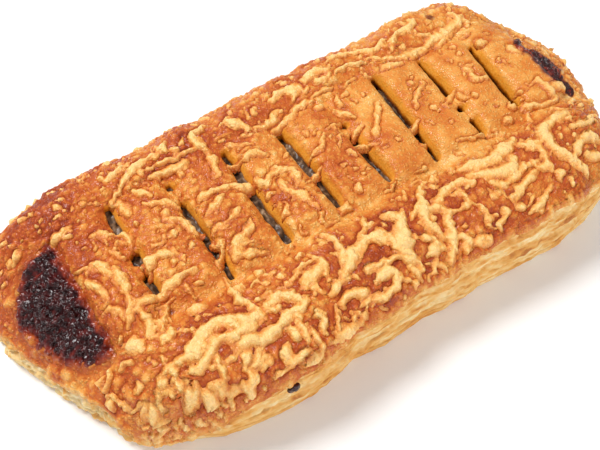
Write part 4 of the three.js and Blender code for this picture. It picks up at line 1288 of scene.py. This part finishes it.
def build_filling(step, filling_depth, material):
    """Shredded filling under the cuts, from the seam up to this far below the crust."""
    v = np.linspace(0, 1, int((FILLING_FAR - FILLING_NEAR) / step))
    u = np.linspace(0, 1, int(FILLING_LENGTH / step))
    u, v = np.meshgrid(u, v, indexing="ij")
    y = mix(FILLING_NEAR, FILLING_FAR, v)
    x = mix(left_end(y) + FILLING_LEFT, right_end(y) - FILLING_RIGHT, u)
    bent = x + 1.5 * noise(x, y, 6, 91)
    strands = 1 - np.abs(layered_noise(bent * 2.2, y * 0.8, 2.4, 92))
    lumps = 0.8 * noise(x, y, 4.5, 95) + 0.9 * strands + 0.35 * noise(x, y, 1.3, 96)
    depth = mix(filling_depth, FILLING_DEPTH_RIGHT, smooth(20, 50, x) * smooth(-12, -4, y))
    top = crust(x, y) - np.maximum(depth - lumps + 0.5, FILLING_LEAST)
    bottom = np.full(x.shape, SEAM + GAP)
    keep = np.ones((x.shape[0] - 1, x.shape[1] - 1), bool)
    # the strands' ridges are drawn pale: partly paler fibres, partly painted highlight
    lump = np.clip(0.05 + 0.6 * np.clip(strands, 0, 1) ** 3 + 0.25 * noise(x, y, 5, 97), 0, 1)
    body = slab(standing(x, y, top), standing(x, y, bottom), keep, lump=lump)
    return body.make("filling_in_the_cuts", material, "filling", ["filling"])


def plan_patch(low, high, step):
    """Plan points of a grid between two corners."""
    xs, ys = np.arange(low[0], high[0], step), np.arange(low[1], high[1], step)
    return np.meshgrid(xs, ys, indexing="ij")


def kept(field, margin):
    """Cells with a corner above the margin."""
    best = np.maximum(np.maximum(field[:-1, :-1], field[1:, :-1]),
                      np.maximum(field[:-1, 1:], field[1:, 1:]))
    return best > margin


SCAB_LOW, SCAB_HIGH = (-92, -17), (-67, 25)  # corners of the plan that the scab lies in
SCAB_DEPTH = 2.2
SCAB_BUBBLES, SMALL_SCAB_BUBBLES = (2.4, 0.7, 0.8), (1.3, 1.3, 0.9)


def build_burnt_filling(step, material):
    """Filling that boiled up in the open cut and burnt to a glossy crust."""
    x, y = plan_patch(SCAB_LOW, SCAB_HIGH, step)
    field = scab_field(x, y)
    left, right = cut_edges(CUTS[0], y)
    t = (right - x) / np.maximum(right - left, 1)
    rise = mix(-0.8, 0.0, smooth(0.05, 0.5, t))
    boiled = bubbled(x, y, SCAB_BUBBLES, 101)
    boiled = np.maximum(boiled, bubbled(x, y, SMALL_SCAB_BUBBLES, 102)) - 0.2
    boiled = boiled + 0.4 * noise(x, y, 3.2, 103) + 0.4 * noise(x, y, 0.9, 104)
    folds = 1 - np.abs(noise(x + 1.5 * noise(x, y, 5, 109), y, 4.2, 110))
    boiled = boiled + 0.9 * folds**2 - 0.4
    height = np.minimum(rise + boiled, 0.6 * field + mix(-1.2, -0.1, smooth(0.1, 0.5, t)))
    height = height + 0.6 * smooth(0.4, 0.8, t) * relief(x, y)
    top, under = raised(x, y, height), raised(x, y, height - SCAB_DEPTH)
    wall = smooth(0.2, 3.0, right - x + 0.8 * noise(x, y, 3, 106))
    uneven_y = y + 1.2 * noise(x, y, 3, 108)
    wall = wall * smooth(CUTS[0].near + 1.5, CUTS[0].near + 5, uneven_y)
    wall = wall * smooth(CUTS[0].far - 1.0, CUTS[0].far - 4, uneven_y)
    char = np.minimum(0.22 + 0.24 * field, 0.3 + 0.75 * wall)
    char = np.clip(char + 0.2 * noise(x, y, 2.2, 105) + 0.2 * noise(x, y, 1.1, 107), 0, 1)
    body = slab(top, under, kept(field, -0.5), char=char)
    return body.make("burnt_filling", material, "filling", [])


# a drop of burnt juice that hangs at the crust's near edge
BURNT_DROP, BURNT_DROP_RADII = (-38.8, -43.1, 15.4), (1.6, 1.1, 1.2)


def add_blob(body, middle, radii, **values):
    """Adds a small lumpy closed blob."""
    turn = np.linspace(0, 2 * np.pi, 28, endpoint=False)
    turn, rise = np.meshgrid(turn, np.linspace(-1.45, 1.45, 16))
    ways = np.stack([np.cos(rise) * np.cos(turn), np.cos(rise) * np.sin(turn), np.sin(rise)], -1)
    uneven = 1 + 0.22 * noise(2.2 * ways[..., 0] + ways[..., 2], 2.2 * ways[..., 1], 1, 116)
    points = np.array(middle) + ways * np.array(radii) * uneven[..., None]
    rings = body.add_points(points.reshape(-1, 3), **values).reshape(turn.shape)
    for lower, upper in zip(rings, rings[1:]):
        body.add_quads(ring_quads(upper, lower))
    body.add_polygon(rings[0][::-1])
    body.add_polygon(rings[-1])


def spot_field(x, y):
    """Above 0 on the burnt spot at the right end."""
    return disc_field(x, y, BURNT_SPOTS[:1]) + 0.3 * noise(x, y, 1.4, 115)


BAND_LOW, BAND_HIGH = (73, -16), (88, 15)  # corners of the plan that the band lies in
SPOT_REACH = 3
SPILL_DEPTH = 1.6


def build_burnt_spill(step, material):
    """Filling that ran out along the last cut and burnt, a burnt spot and a burnt drop."""
    body = Surface()
    spot_x, spot_y, _ = BURNT_SPOTS[0]
    spot_low = (spot_x - SPOT_REACH, spot_y - SPOT_REACH)
    spot_high = (spot_x + SPOT_REACH, spot_y + SPOT_REACH)
    patches = ((BAND_LOW, BAND_HIGH, band_field, 2.4), (spot_low, spot_high, spot_field, 1.4))
    for low, high, field_of, bubble in patches:
        x, y = plan_patch(low, high, step)
        field = field_of(x, y)
        boiled = 0.16 * bubble * blisters(x, y, 1.7, 111, 0.9)
        boiled = boiled + 0.16 * bubble * blisters(x, y, 1.0, 112, 0.9) - 0.1
        height = np.minimum(boiled, field * 1.1 - 0.15) + 0.12 * noise(x, y, 1.2, 113)
        height = height + relief(x, y)
        top, under = raised(x, y, height), raised(x, y, height - SPILL_DEPTH)
        char = np.clip(0.3 + 0.7 * field + 0.35 * noise(x, y, 2.0, 114), 0, 1.1)
        body.join(slab(top, under, kept(field, -0.12), char=char))
    add_blob(body, BURNT_DROP, BURNT_DROP_RADII, char=0.95)
    return body.make("burnt_spill", material, "lid_pastry", [])


CHEESE_BUBBLES = (1.5, 0.5, 0.75)


def build_cheese(cheese, sink, material):
    """Shreds, clumps and drops of melted cheese, sunk this far into the crust."""
    x, y = np.meshgrid(cheese.xs, cheese.ys, indexing="ij")
    height = cheese.height
    lumpy = 0.2 * noise(x, y, 2.0, 121) + 0.14 * noise(x, y, 1.0, 122)
    lumpy = lumpy + bubbled(x, y, CHEESE_BUBBLES, 123)
    full = smooth(0, 0.8, height)
    ground = relief(x, y) * smooth(0.4, -0.4, height)
    top = raised(x, y, ground + np.maximum(height, -0.6) + full * lumpy)
    bottom = raised(x, y, ground - sink)
    sag = edge_sag(x, y) * (1 - 0.5 * full)
    top[..., 2] -= sag
    bottom[..., 2] -= sag
    melt = smooth(0.0, 1.35, height + lumpy)
    melt = melt - 0.2 * smooth(-17, -11, y) * smooth(30, 22, y)
    body = slab(top, bottom, kept(height, -0.02), melt=melt)
    nodes = [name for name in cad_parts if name.startswith("cheese_")]
    return body.make("melted_cheese", material, "cheese", nodes)


# ---- materials ------------------------------------------------------------------------
def linear(code):
    """Linear colour of an sRGB hex value."""
    parts = [int(code[i : i + 2], 16) / 255 for i in (0, 2, 4)]
    return [c / 12.92 if c <= 0.04045 else ((c + 0.055) / 1.055) ** 2.4 for c in parts]


def set_inputs(tree, target, inputs):
    """Gives a node's inputs, by name or number, a socket to follow or a fixed value."""
    for key, value in inputs.items():
        if isinstance(value, bpy.types.NodeSocket):
            tree.links.new(value, target.inputs[key])
        else:
            target.inputs[key].default_value = value


def node(tree, kind, inputs=(), output=0, stops=(), **settings):
    """Adds one node with its settings and links, and gives back one of its outputs.

    The inputs are sockets or values, in the node's own order or by name. The stops are the
    places and colours of a colour ramp, each colour a hex value or a linear colour.
    """
    new = tree.nodes.new("ShaderNode" + kind)
    for key, value in settings.items():
        setattr(new, key, value)
    set_inputs(tree, new, inputs if isinstance(inputs, dict) else dict(enumerate(inputs)))
    if stops:
        elements = new.color_ramp.elements
        while len(elements) < len(stops):
            elements.new(0.5)
        for element, (position, colour) in zip(elements, stops):
            element.position = position
            element.color = (*(linear(colour) if isinstance(colour, str) else colour), 1)
    return new.outputs[output]


def blank(name, *values):
    """A new material with its tree, its shader, the place in metres and these point values."""
    material = bpy.data.materials.new(name)
    material.use_nodes = True
    tree = material.node_tree
    place_in_metres = node(tree, "TexCoord", output="Object")
    values = [node(tree, "Attribute", output="Fac", attribute_name=value) for value in values]
    return material, tree, tree.nodes["Principled BSDF"], place_in_metres, *values


def pattern(place_in_metres, size_mm, **more):
    """Inputs of a pattern whose spots lie about size_mm apart."""
    return {"Vector": place_in_metres, "Scale": 1 / (size_mm * MM), **more}


def uneven_place(tree, place_in_metres, size_mm, amount_mm):
    """The place coordinate, pushed about so that a pattern on it has no even rows."""
    push = node(tree, "TexNoise", pattern(place_in_metres, size_mm), "Color")
    amount = (amount_mm * MM,) * 3
    return node(tree, "VectorMath", (push, amount, place_in_metres), operation="MULTIPLY_ADD")


def add_bumps(tree, shader, height, strength, body_mm, gloss_mm):
    """Bumps of two depths: the glossy top film catches small glints, the body stays soft."""
    for name, depth in (("Normal", body_mm), ("Coat Normal", gloss_mm)):
        bump = node(tree, "Bump", {"Height": height, "Strength": strength, "Distance": depth * MM})
        tree.links.new(bump, shader.inputs[name])


ROUND_GRAINS = {"feature": "SMOOTH_F1"}  # 0 in the middle of a grain, about 1 between grains
GRAIN_SOFTNESS = 0.35


def egg_washed_crust(colours):
    """Puff pastry brushed with egg and baked: a brown, blistered, faintly glossy skin."""
    material, tree, shader, place_in_metres, bake, beside, wall, deep, char = blank(
        "egg_washed_puff_pastry", "bake", "beside", "wall", "deep", "char")
    # blotches where the egg lay thick or thin
    mottle = node(tree, "TexNoise", pattern(place_in_metres, 2.6, Detail=3.0), "Fac")
    # the skin's own crumb is about 0.1 mm: too fine to show, so it is drawn at 0.5 mm
    fine = node(tree, "TexNoise", pattern(place_in_metres, 0.5, Detail=1.5), "Fac")
    # pinhead bubbles, finer than the modelled blisters: pale tops, which are partly painted
    # highlight, and glints on the egg
    pushed = uneven_place(tree, place_in_metres, 2.0, 1.2)
    small = node(tree, "TexVoronoi", pattern(pushed, 0.85, Smoothness=GRAIN_SOFTNESS),
                 **ROUND_GRAINS)
    small = node(tree, "MapRange", (small, 0.12, 0.5, 1, 0))
    shade = bake
    # beside adds painted shade next to the cheese
    for part, share in ((beside, 0.14), (mottle, 0.24), (fine, 0.24), (small, -0.2)):
        shade = node(tree, "Math", (part, share, shade), operation="MULTIPLY_ADD")
    shade = node(tree, "MapRange", (shade, 0.31, 1.31, 0, 1))
    brown = node(tree, "ValToRGB", (shade,), stops=[
        (0.0, colours.pale_crust), (0.2, "E8A652"), (0.4, "D98434"), (0.58, "C66424"),
        (0.78, "A84416"), (1.0, colours.dark_crust)])
    # the walls of the cuts: golden at the lip, darker further down, which is painted shade in the cut
    walls = node(tree, "Math", (mottle, 0.6, fine), operation="MULTIPLY_ADD")
    walls = node(tree, "MapRange", (walls, 0.5, 1.1, 0.65, 0.95))
    walls = node(tree, "Math", (deep, -0.65, walls), operation="MULTIPLY_ADD")
    walls = node(tree, "ValToRGB", (walls,), stops=[
        (0.1, "5A2604"), (0.4, "AE5C08"), (0.65, "DE8A1E"), (0.9, "F0AA42")])
    colour = node(tree, "Mix", {0: wall, 6: brown, 7: walls}, 2, data_type="RGBA")
    # scorched margins round the burnt places
    char = node(tree, "Math", (mottle, 0.3, char), operation="MULTIPLY_ADD")
    burnt = node(tree, "ValToRGB", (char,), stops=[
        (0.3, "A84C22"), (0.6, "7A2A14"), (0.85, "4A160E"), (1.0, "2A0E0C")])
    burning = node(tree, "MapRange", (char, 0.32, 0.75, 0, 1))
    height = node(tree, "Math", (fine, 0.5, small), operation="MULTIPLY_ADD")
    strength = node(tree, "MapRange", (wall, 0, 1, 0.9, 0.3))
    add_bumps(tree, shader, height, strength, 0.25, 0.42)
    set_inputs(tree, shader, {
        "Base Color": node(tree, "Mix", {0: burning, 6: colour, 7: burnt}, 2, data_type="RGBA"),
        "Roughness": node(tree, "MapRange", (fine, 0.3, 0.7, 0.42, 0.56)),
        "IOR": 1.42,
        "Specular IOR Level": 0.22,
        "Subsurface Weight": 0.1,
        "Subsurface Radius": (1.0, 0.42, 0.16),
        "Subsurface Scale": 0.8 * MM,
        "Coat Weight": 0.3,
        "Coat Roughness": 0.1,
    })
    return material


def flaky_layers(colours):
    """Cut edge of laminated dough: dry pale layers, golden where fat has fried them."""
    material, tree, shader, place_in_metres, tone, groove = blank(
        "baked_laminated_dough", "tone", "groove")
    # a single layer is about 0.1 mm thick: too fine to show, so the streaks are drawn 0.75 mm high
    flat = node(tree, "Mapping", {"Vector": place_in_metres, "Scale": (1, 1, 4)})
    streaks = node(tree, "TexNoise", pattern(flat, 3.0, Detail=4.0), "Fac")
    fine = node(tree, "TexNoise", pattern(place_in_metres, 0.7, Detail=3.0), "Fac")
    shade = tone
    for part, share in ((streaks, 0.4), (fine, 0.25)):
        shade = node(tree, "Math", (part, share, shade), operation="MULTIPLY_ADD")
    shade = node(tree, "MapRange", (shade, 0.25, 1.35, 0, 1))
    dough = node(tree, "ValToRGB", (shade,), stops=[
        (0.0, colours.pale_layers), (0.3, "ECCB8E"), (0.55, "E6B264"), (0.8, "D8963E"),
        (1.0, "B86E28")])
    # the gaps between bundles of layers are drawn brown and dark: painted shade in the gaps
    painted_gap_shade = node(tree, "MapRange", (groove, 0.3, 1, 0, 0.7))
    brown = (*linear("A8743A"), 1)
    height = node(tree, "Math", (fine, 0.5, streaks), operation="MULTIPLY_ADD")
    set_inputs(tree, shader, {
        "Base Color": node(tree, "Mix", {0: painted_gap_shade, 6: dough, 7: brown}, 2, data_type="RGBA"),
        "Roughness": 0.62,
        "IOR": 1.45,
        "Subsurface Weight": 0.22,
        "Subsurface Radius": (1.0, 0.6, 0.3),
        "Subsurface Scale": 1.6 * MM,
        "Normal": node(tree, "Bump", {"Height": height, "Strength": 0.6, "Distance": 0.35 * MM}),
    })
    return material


def melted_cheese(colours):
    """Grated cheese, melted and set: soft yellow lumps, browner where they run thin."""
    material, tree, shader, place_in_metres, melt = blank("melted_grated_cheese", "melt")
    mottle = node(tree, "TexNoise", pattern(place_in_metres, 1.8, Detail=3.0), "Fac")
    fine = node(tree, "TexNoise", pattern(place_in_metres, 0.6, Detail=3.0), "Fac")
    # beads of fat that boiled out and set: darker between them, which is painted shade, with a glint
    # on each
    pushed = uneven_place(tree, place_in_metres, 2.0, 1.0)
    beads = node(tree, "TexVoronoi", pattern(pushed, 0.8, Smoothness=GRAIN_SOFTNESS),
                 **ROUND_GRAINS)
    shade = melt
    for part, share in ((mottle, 0.7), (fine, 0.4), (beads, -0.3)):
        shade = node(tree, "Math", (part, share, shade), operation="MULTIPLY_ADD")
    shade = node(tree, "MapRange", (shade, 0.1, 1.3, 0, 1))
    height = fine
    for part, share in ((mottle, 0.6), (beads, -1.2)):
        height = node(tree, "Math", (part, share, height), operation="MULTIPLY_ADD")
    add_bumps(tree, shader, height, 0.9, 0.32, 0.42)
    set_inputs(tree, shader, {
        "Base Color": node(tree, "ValToRGB", (shade,), stops=[
            (0.0, "C05C1C"), (0.25, "DA8434"), (0.5, "EBA24C"), (0.8, "F4BC6A"),
            (1.0, colours.cheese)]),
        "Roughness": node(tree, "MapRange", (fine, 0.3, 0.7, 0.4, 0.55)),
        "IOR": 1.46,
        "Subsurface Weight": 0.2,
        "Subsurface Radius": (1.0, 0.6, 0.25),
        "Subsurface Scale": 1.0 * MM,
        "Coat Weight": 0.2,
        "Coat Roughness": 0.12,
    })
    return material


def stewed_filling(colours):
    """Minced filling baked in its own fat: grey-brown shreds with a wet shine."""
    material, tree, shader, place_in_metres, lump = blank("stewed_minced_filling", "lump")
    mottle = node(tree, "TexNoise", pattern(place_in_metres, 1.6, Detail=4.0), "Fac")
    # pale strand tops: partly paler fibres, partly painted highlight
    shade = node(tree, "Math", (mottle, 0.8, lump), operation="MULTIPLY_ADD")
    shade = node(tree, "MapRange", (shade, 0.3, 1.3, 0, 1))
    set_inputs(tree, shader, {
        "Base Color": node(tree, "ValToRGB", (shade,), stops=[
            (0.0, "22140A"), (0.35, "523A26"), (0.65, "80664C"), (1.0, colours.filling)]),
        "Roughness": 0.55,
        "IOR": 1.4,
        "Specular IOR Level": 0.2,
        "Coat Weight": 0.2,
        "Coat Roughness": 0.15,
        "Normal": node(tree, "Bump", {"Height": mottle, "Strength": 0.7, "Distance": 0.5 * MM}),
    })
    return material


def burnt_juices(colours):
    """Filling burnt to carbon and caramel: near black, glassy bubbles, red-brown margins."""
    material, tree, shader, place_in_metres, char = blank("burnt_caramelised_filling", "char")
    mottle = node(tree, "TexNoise", pattern(place_in_metres, 1.5, Detail=3.0), "Fac")
    char = node(tree, "Math", (mottle, 0.6, char), operation="MULTIPLY_ADD")
    char = node(tree, "MapRange", (char, 0.32, 1.32, 0, 1))
    # burst bubbles: each wall catches the light like glass
    pushed = uneven_place(tree, place_in_metres, 2.0, 1.0)
    pits = node(tree, "TexVoronoi", pattern(pushed, 1.2, Smoothness=GRAIN_SOFTNESS),
                **ROUND_GRAINS)
    height = node(tree, "Math", (pits, -1.0, mottle), operation="MULTIPLY_ADD")
    add_bumps(tree, shader, height, 1.0, 0.4, 0.55)
    set_inputs(tree, shader, {
        "Base Color": node(tree, "ValToRGB", (char,), stops=[
            (0.0, "C47036"), (0.25, "A84A22"), (0.5, "8A301C"), (0.75, "5A1614"),
            (1.0, colours.burnt)]),
        "Roughness": 0.5,
        "IOR": 1.45,
        "Specular IOR Level": 0.02,
        "Coat Weight": 0.8,
        "Coat Roughness": 0.05,
    })
    return material


def matt_card(colours):
    """Smooth white card: an even, pale ground, with tones too slow for the eye to catch."""
    material, tree, shader, place_in_metres = blank("matt_white_card")
    tone = node(tree, "TexNoise", pattern(place_in_metres, 60, Detail=3.0), "Fac")
    set_inputs(tree, shader, {
        "Base Color": node(tree, "ValToRGB", (tone,), stops=[(0.3, "FBFBFB"), (0.7, colours.floor)]),
        "Roughness": 0.9,
    })
    return material


# ---- sizes and colours that a user may change ---------------------------------------------
def length_property(name, description, default_mm, low_mm, high_mm):
    return bpy.props.FloatProperty(
        name=name, description=description, default=default_mm * MM, min=low_mm * MM,
        max=high_mm * MM, subtype="DISTANCE", unit="LENGTH", precision=5)


def colour_property(name, description, code):
    return bpy.props.FloatVectorProperty(
        name=name, description=description, default=linear(code), min=0, max=1, size=3,
        subtype="COLOR")


def in_mm(length):
    """A length property in millimetres, without its rounding error."""
    return round(length / MM, 4)


class PastrySizes(bpy.types.PropertyGroup):
    crust_step: length_property("Crust step", "Mesh step of the crust", 0.46, 0.3, 3)
    side_step: length_property("Side step", "Mesh step of the flaky side", 0.5, 0.3, 3)
    filling_step: length_property("Filling step", "Mesh step of the filling", 0.6, 0.3, 3)
    scab_step: length_property("Scab step", "Mesh step of the burnt places", 0.3, 0.2, 2)
    cheese_step: length_property("Cheese step", "Mesh step of the cheese", 0.385, 0.2, 2)
    filling_depth: length_property("Filling depth", "How far below the crust the filling lies",
                                   2.9, 0, 8)
    cheese_sink: length_property("Cheese sink", "How far the cheese has sunk into the crust",
                                 0.8, 0.4, 2)


class PastryColours(bpy.types.PropertyGroup):
    pale_crust: colour_property("Pale crust", "Crust where it is baked least", "F4C67E")
    dark_crust: colour_property("Dark crust", "Crust where it is baked most", "802A0C")
    pale_layers: colour_property("Pale layers", "The palest layers of the side", "F2DDB0")
    cheese: colour_property("Cheese", "Melted cheese where it lies thickest", "FACC82")
    filling: colour_property("Filling", "The palest shreds of the filling", "BCA588")
    burnt: colour_property("Burnt", "Burnt filling where it is blackest", "280608")
    floor: colour_property("Floor", "The card that the slice lies on", "FFFFFF")


@lru_cache(maxsize=None)
def cheese_field(step):
    """The cheese's heights, worked out once for the crust and the cheese."""
    return CheeseField(step)


class PASTRY_OT_crust(bpy.types.Operator):
    """Bake the blistered crust with its cuts"""

    bl_idname = "pastry.crust"
    bl_label = "Crust"

    def execute(self, context):
        sizes = context.scene.pastry_sizes
        brushed = egg_washed_crust(context.scene.pastry_colours)
        build_crust(in_mm(sizes.crust_step), brushed, cheese_field(in_mm(sizes.cheese_step)))
        return {"FINISHED"}


class PASTRY_OT_sides(bpy.types.Operator):
    """Make the flaky side of the lid and the lower sheet"""

    bl_idname = "pastry.sides"
    bl_label = "Flaky sides"

    def execute(self, context):
        step = in_mm(context.scene.pastry_sizes.side_step)
        dough = flaky_layers(context.scene.pastry_colours)
        build_layered_side(step, dough)
        build_lower_sheet(step, dough)
        return {"FINISHED"}


class PASTRY_OT_filling(bpy.types.Operator):
    """Lay the filling that shows in the cuts"""

    bl_idname = "pastry.filling"
    bl_label = "Filling"

    def execute(self, context):
        sizes = context.scene.pastry_sizes
        stewed = stewed_filling(context.scene.pastry_colours)
        build_filling(in_mm(sizes.filling_step), in_mm(sizes.filling_depth), stewed)
        return {"FINISHED"}


class PASTRY_OT_burns(bpy.types.Operator):
    """Burn the filling that has boiled over"""

    bl_idname = "pastry.burns"
    bl_label = "Burnt places"

    def execute(self, context):
        step = in_mm(context.scene.pastry_sizes.scab_step)
        burnt = burnt_juices(context.scene.pastry_colours)
        build_burnt_filling(step, burnt)
        build_burnt_spill(step, burnt)
        return {"FINISHED"}


class PASTRY_OT_cheese(bpy.types.Operator):
    """Melt the grated cheese over the crust"""

    bl_idname = "pastry.cheese"
    bl_label = "Cheese"

    def execute(self, context):
        sizes = context.scene.pastry_sizes
        melted = melted_cheese(context.scene.pastry_colours)
        build_cheese(cheese_field(in_mm(sizes.cheese_step)), in_mm(sizes.cheese_sink), melted)
        return {"FINISHED"}


# ---- stage ------------------------------------------------------------------------------
CAMERA_PLACE = (-0.0761, -0.1019, 0.1837)
CAMERA_TARGET = (-0.0056, 0.0039, 0.0)
CAMERA_LENS, CAMERA_SENSOR = 45, 36  # mm
CAMERA_NEAREST = 0.01
FLOOR_REACH = 3.0
SKY_STRENGTH = 0.4
# soft boxes: name, place, size in metres, power in watts
SOFT_BOXES = (
    ("overhead", (-0.2, 0.4, 0.72), 0.36, 6.6),
    ("front", (0.15, -0.8, 0.34), 0.8, 3.8),
)
SOFT_BOX_TARGET = (0, 0, 0.01)


def aim(thing, target):
    thing.rotation_mode = "QUATERNION"
    thing.rotation_quaternion = (Vector(target) - thing.location).to_track_quat("-Z", "Y")


def lay_floor(scene, material):
    mesh = bpy.data.meshes.new("floor")
    corners = [(x * FLOOR_REACH, y * FLOOR_REACH, 0) for x, y in ((-1, -1), (1, -1), (1, 1), (-1, 1))]
    mesh.from_pydata(corners, [], [(0, 1, 2, 3)])
    mesh.materials.append(material)
    floor = bpy.data.objects.new("floor", mesh)
    scene.collection.objects.link(floor)


def hang_soft_boxes(scene):
    for name, spot, size, power in SOFT_BOXES:
        light = bpy.data.lights.new(name, "AREA")
        light.shape, light.size, light.energy = "DISK", size, power
        lamp = bpy.data.objects.new(name, light)
        lamp.location = spot
        scene.collection.objects.link(lamp)
        aim(lamp, SOFT_BOX_TARGET)


def set_camera(scene):
    camera = bpy.data.objects.new("camera", bpy.data.cameras.new("camera"))
    camera.data.lens = CAMERA_LENS
    camera.data.sensor_width = CAMERA_SENSOR
    camera.data.clip_start = CAMERA_NEAREST
    camera.location = CAMERA_PLACE
    scene.collection.objects.link(camera)
    aim(camera, CAMERA_TARGET)
    scene.camera = camera


class PASTRY_OT_stage(bpy.types.Operator):
    """Set out the floor, the soft lights and the camera"""

    bl_idname = "pastry.stage"
    bl_label = "Stage"

    def execute(self, context):
        scene = context.scene
        lay_floor(scene, matt_card(scene.pastry_colours))
        hang_soft_boxes(scene)
        world = bpy.data.worlds.new("studio")
        world.use_nodes = True
        sky = {"Color": (1, 1, 1, 1), "Strength": SKY_STRENGTH}
        set_inputs(world.node_tree, world.node_tree.nodes["Background"], sky)
        scene.world = world
        set_camera(scene)
        scene.view_settings.view_transform = "Standard"
        return {"FINISHED"}


class PASTRY_PT_panel(bpy.types.Panel):
    """Lists what can be made"""

    bl_label = "Pastry"
    bl_idname = "PASTRY_PT_panel"
    bl_space_type = "VIEW_3D"
    bl_region_type = "UI"
    bl_category = "Pastry"

    def draw(self, context):
        for group in (context.scene.pastry_sizes, context.scene.pastry_colours):
            for key in group.__annotations__:
                self.layout.prop(group, key)
        for operator in OPERATORS:
            self.layout.operator(operator.bl_idname)


OPERATORS = (PASTRY_OT_crust, PASTRY_OT_sides, PASTRY_OT_filling, PASTRY_OT_burns,
             PASTRY_OT_cheese, PASTRY_OT_stage)
CLASSES = (PastrySizes, PastryColours, *OPERATORS, PASTRY_PT_panel)


def register():
    for cls in CLASSES:
        bpy.utils.register_class(cls)
    bpy.types.Scene.pastry_sizes = bpy.props.PointerProperty(type=PastrySizes)
    bpy.types.Scene.pastry_colours = bpy.props.PointerProperty(type=PastryColours)


def unregister():
    del bpy.types.Scene.pastry_sizes
    del bpy.types.Scene.pastry_colours
    for cls in reversed(CLASSES):
        bpy.utils.unregister_class(cls)


def main():
    register()
    bpy.ops.pastry.crust()
    bpy.ops.pastry.sides()
    bpy.ops.pastry.filling()
    bpy.ops.pastry.burns()
    bpy.ops.pastry.cheese()
    bpy.ops.pastry.stage()


if __name__ == "__main__":
    main()
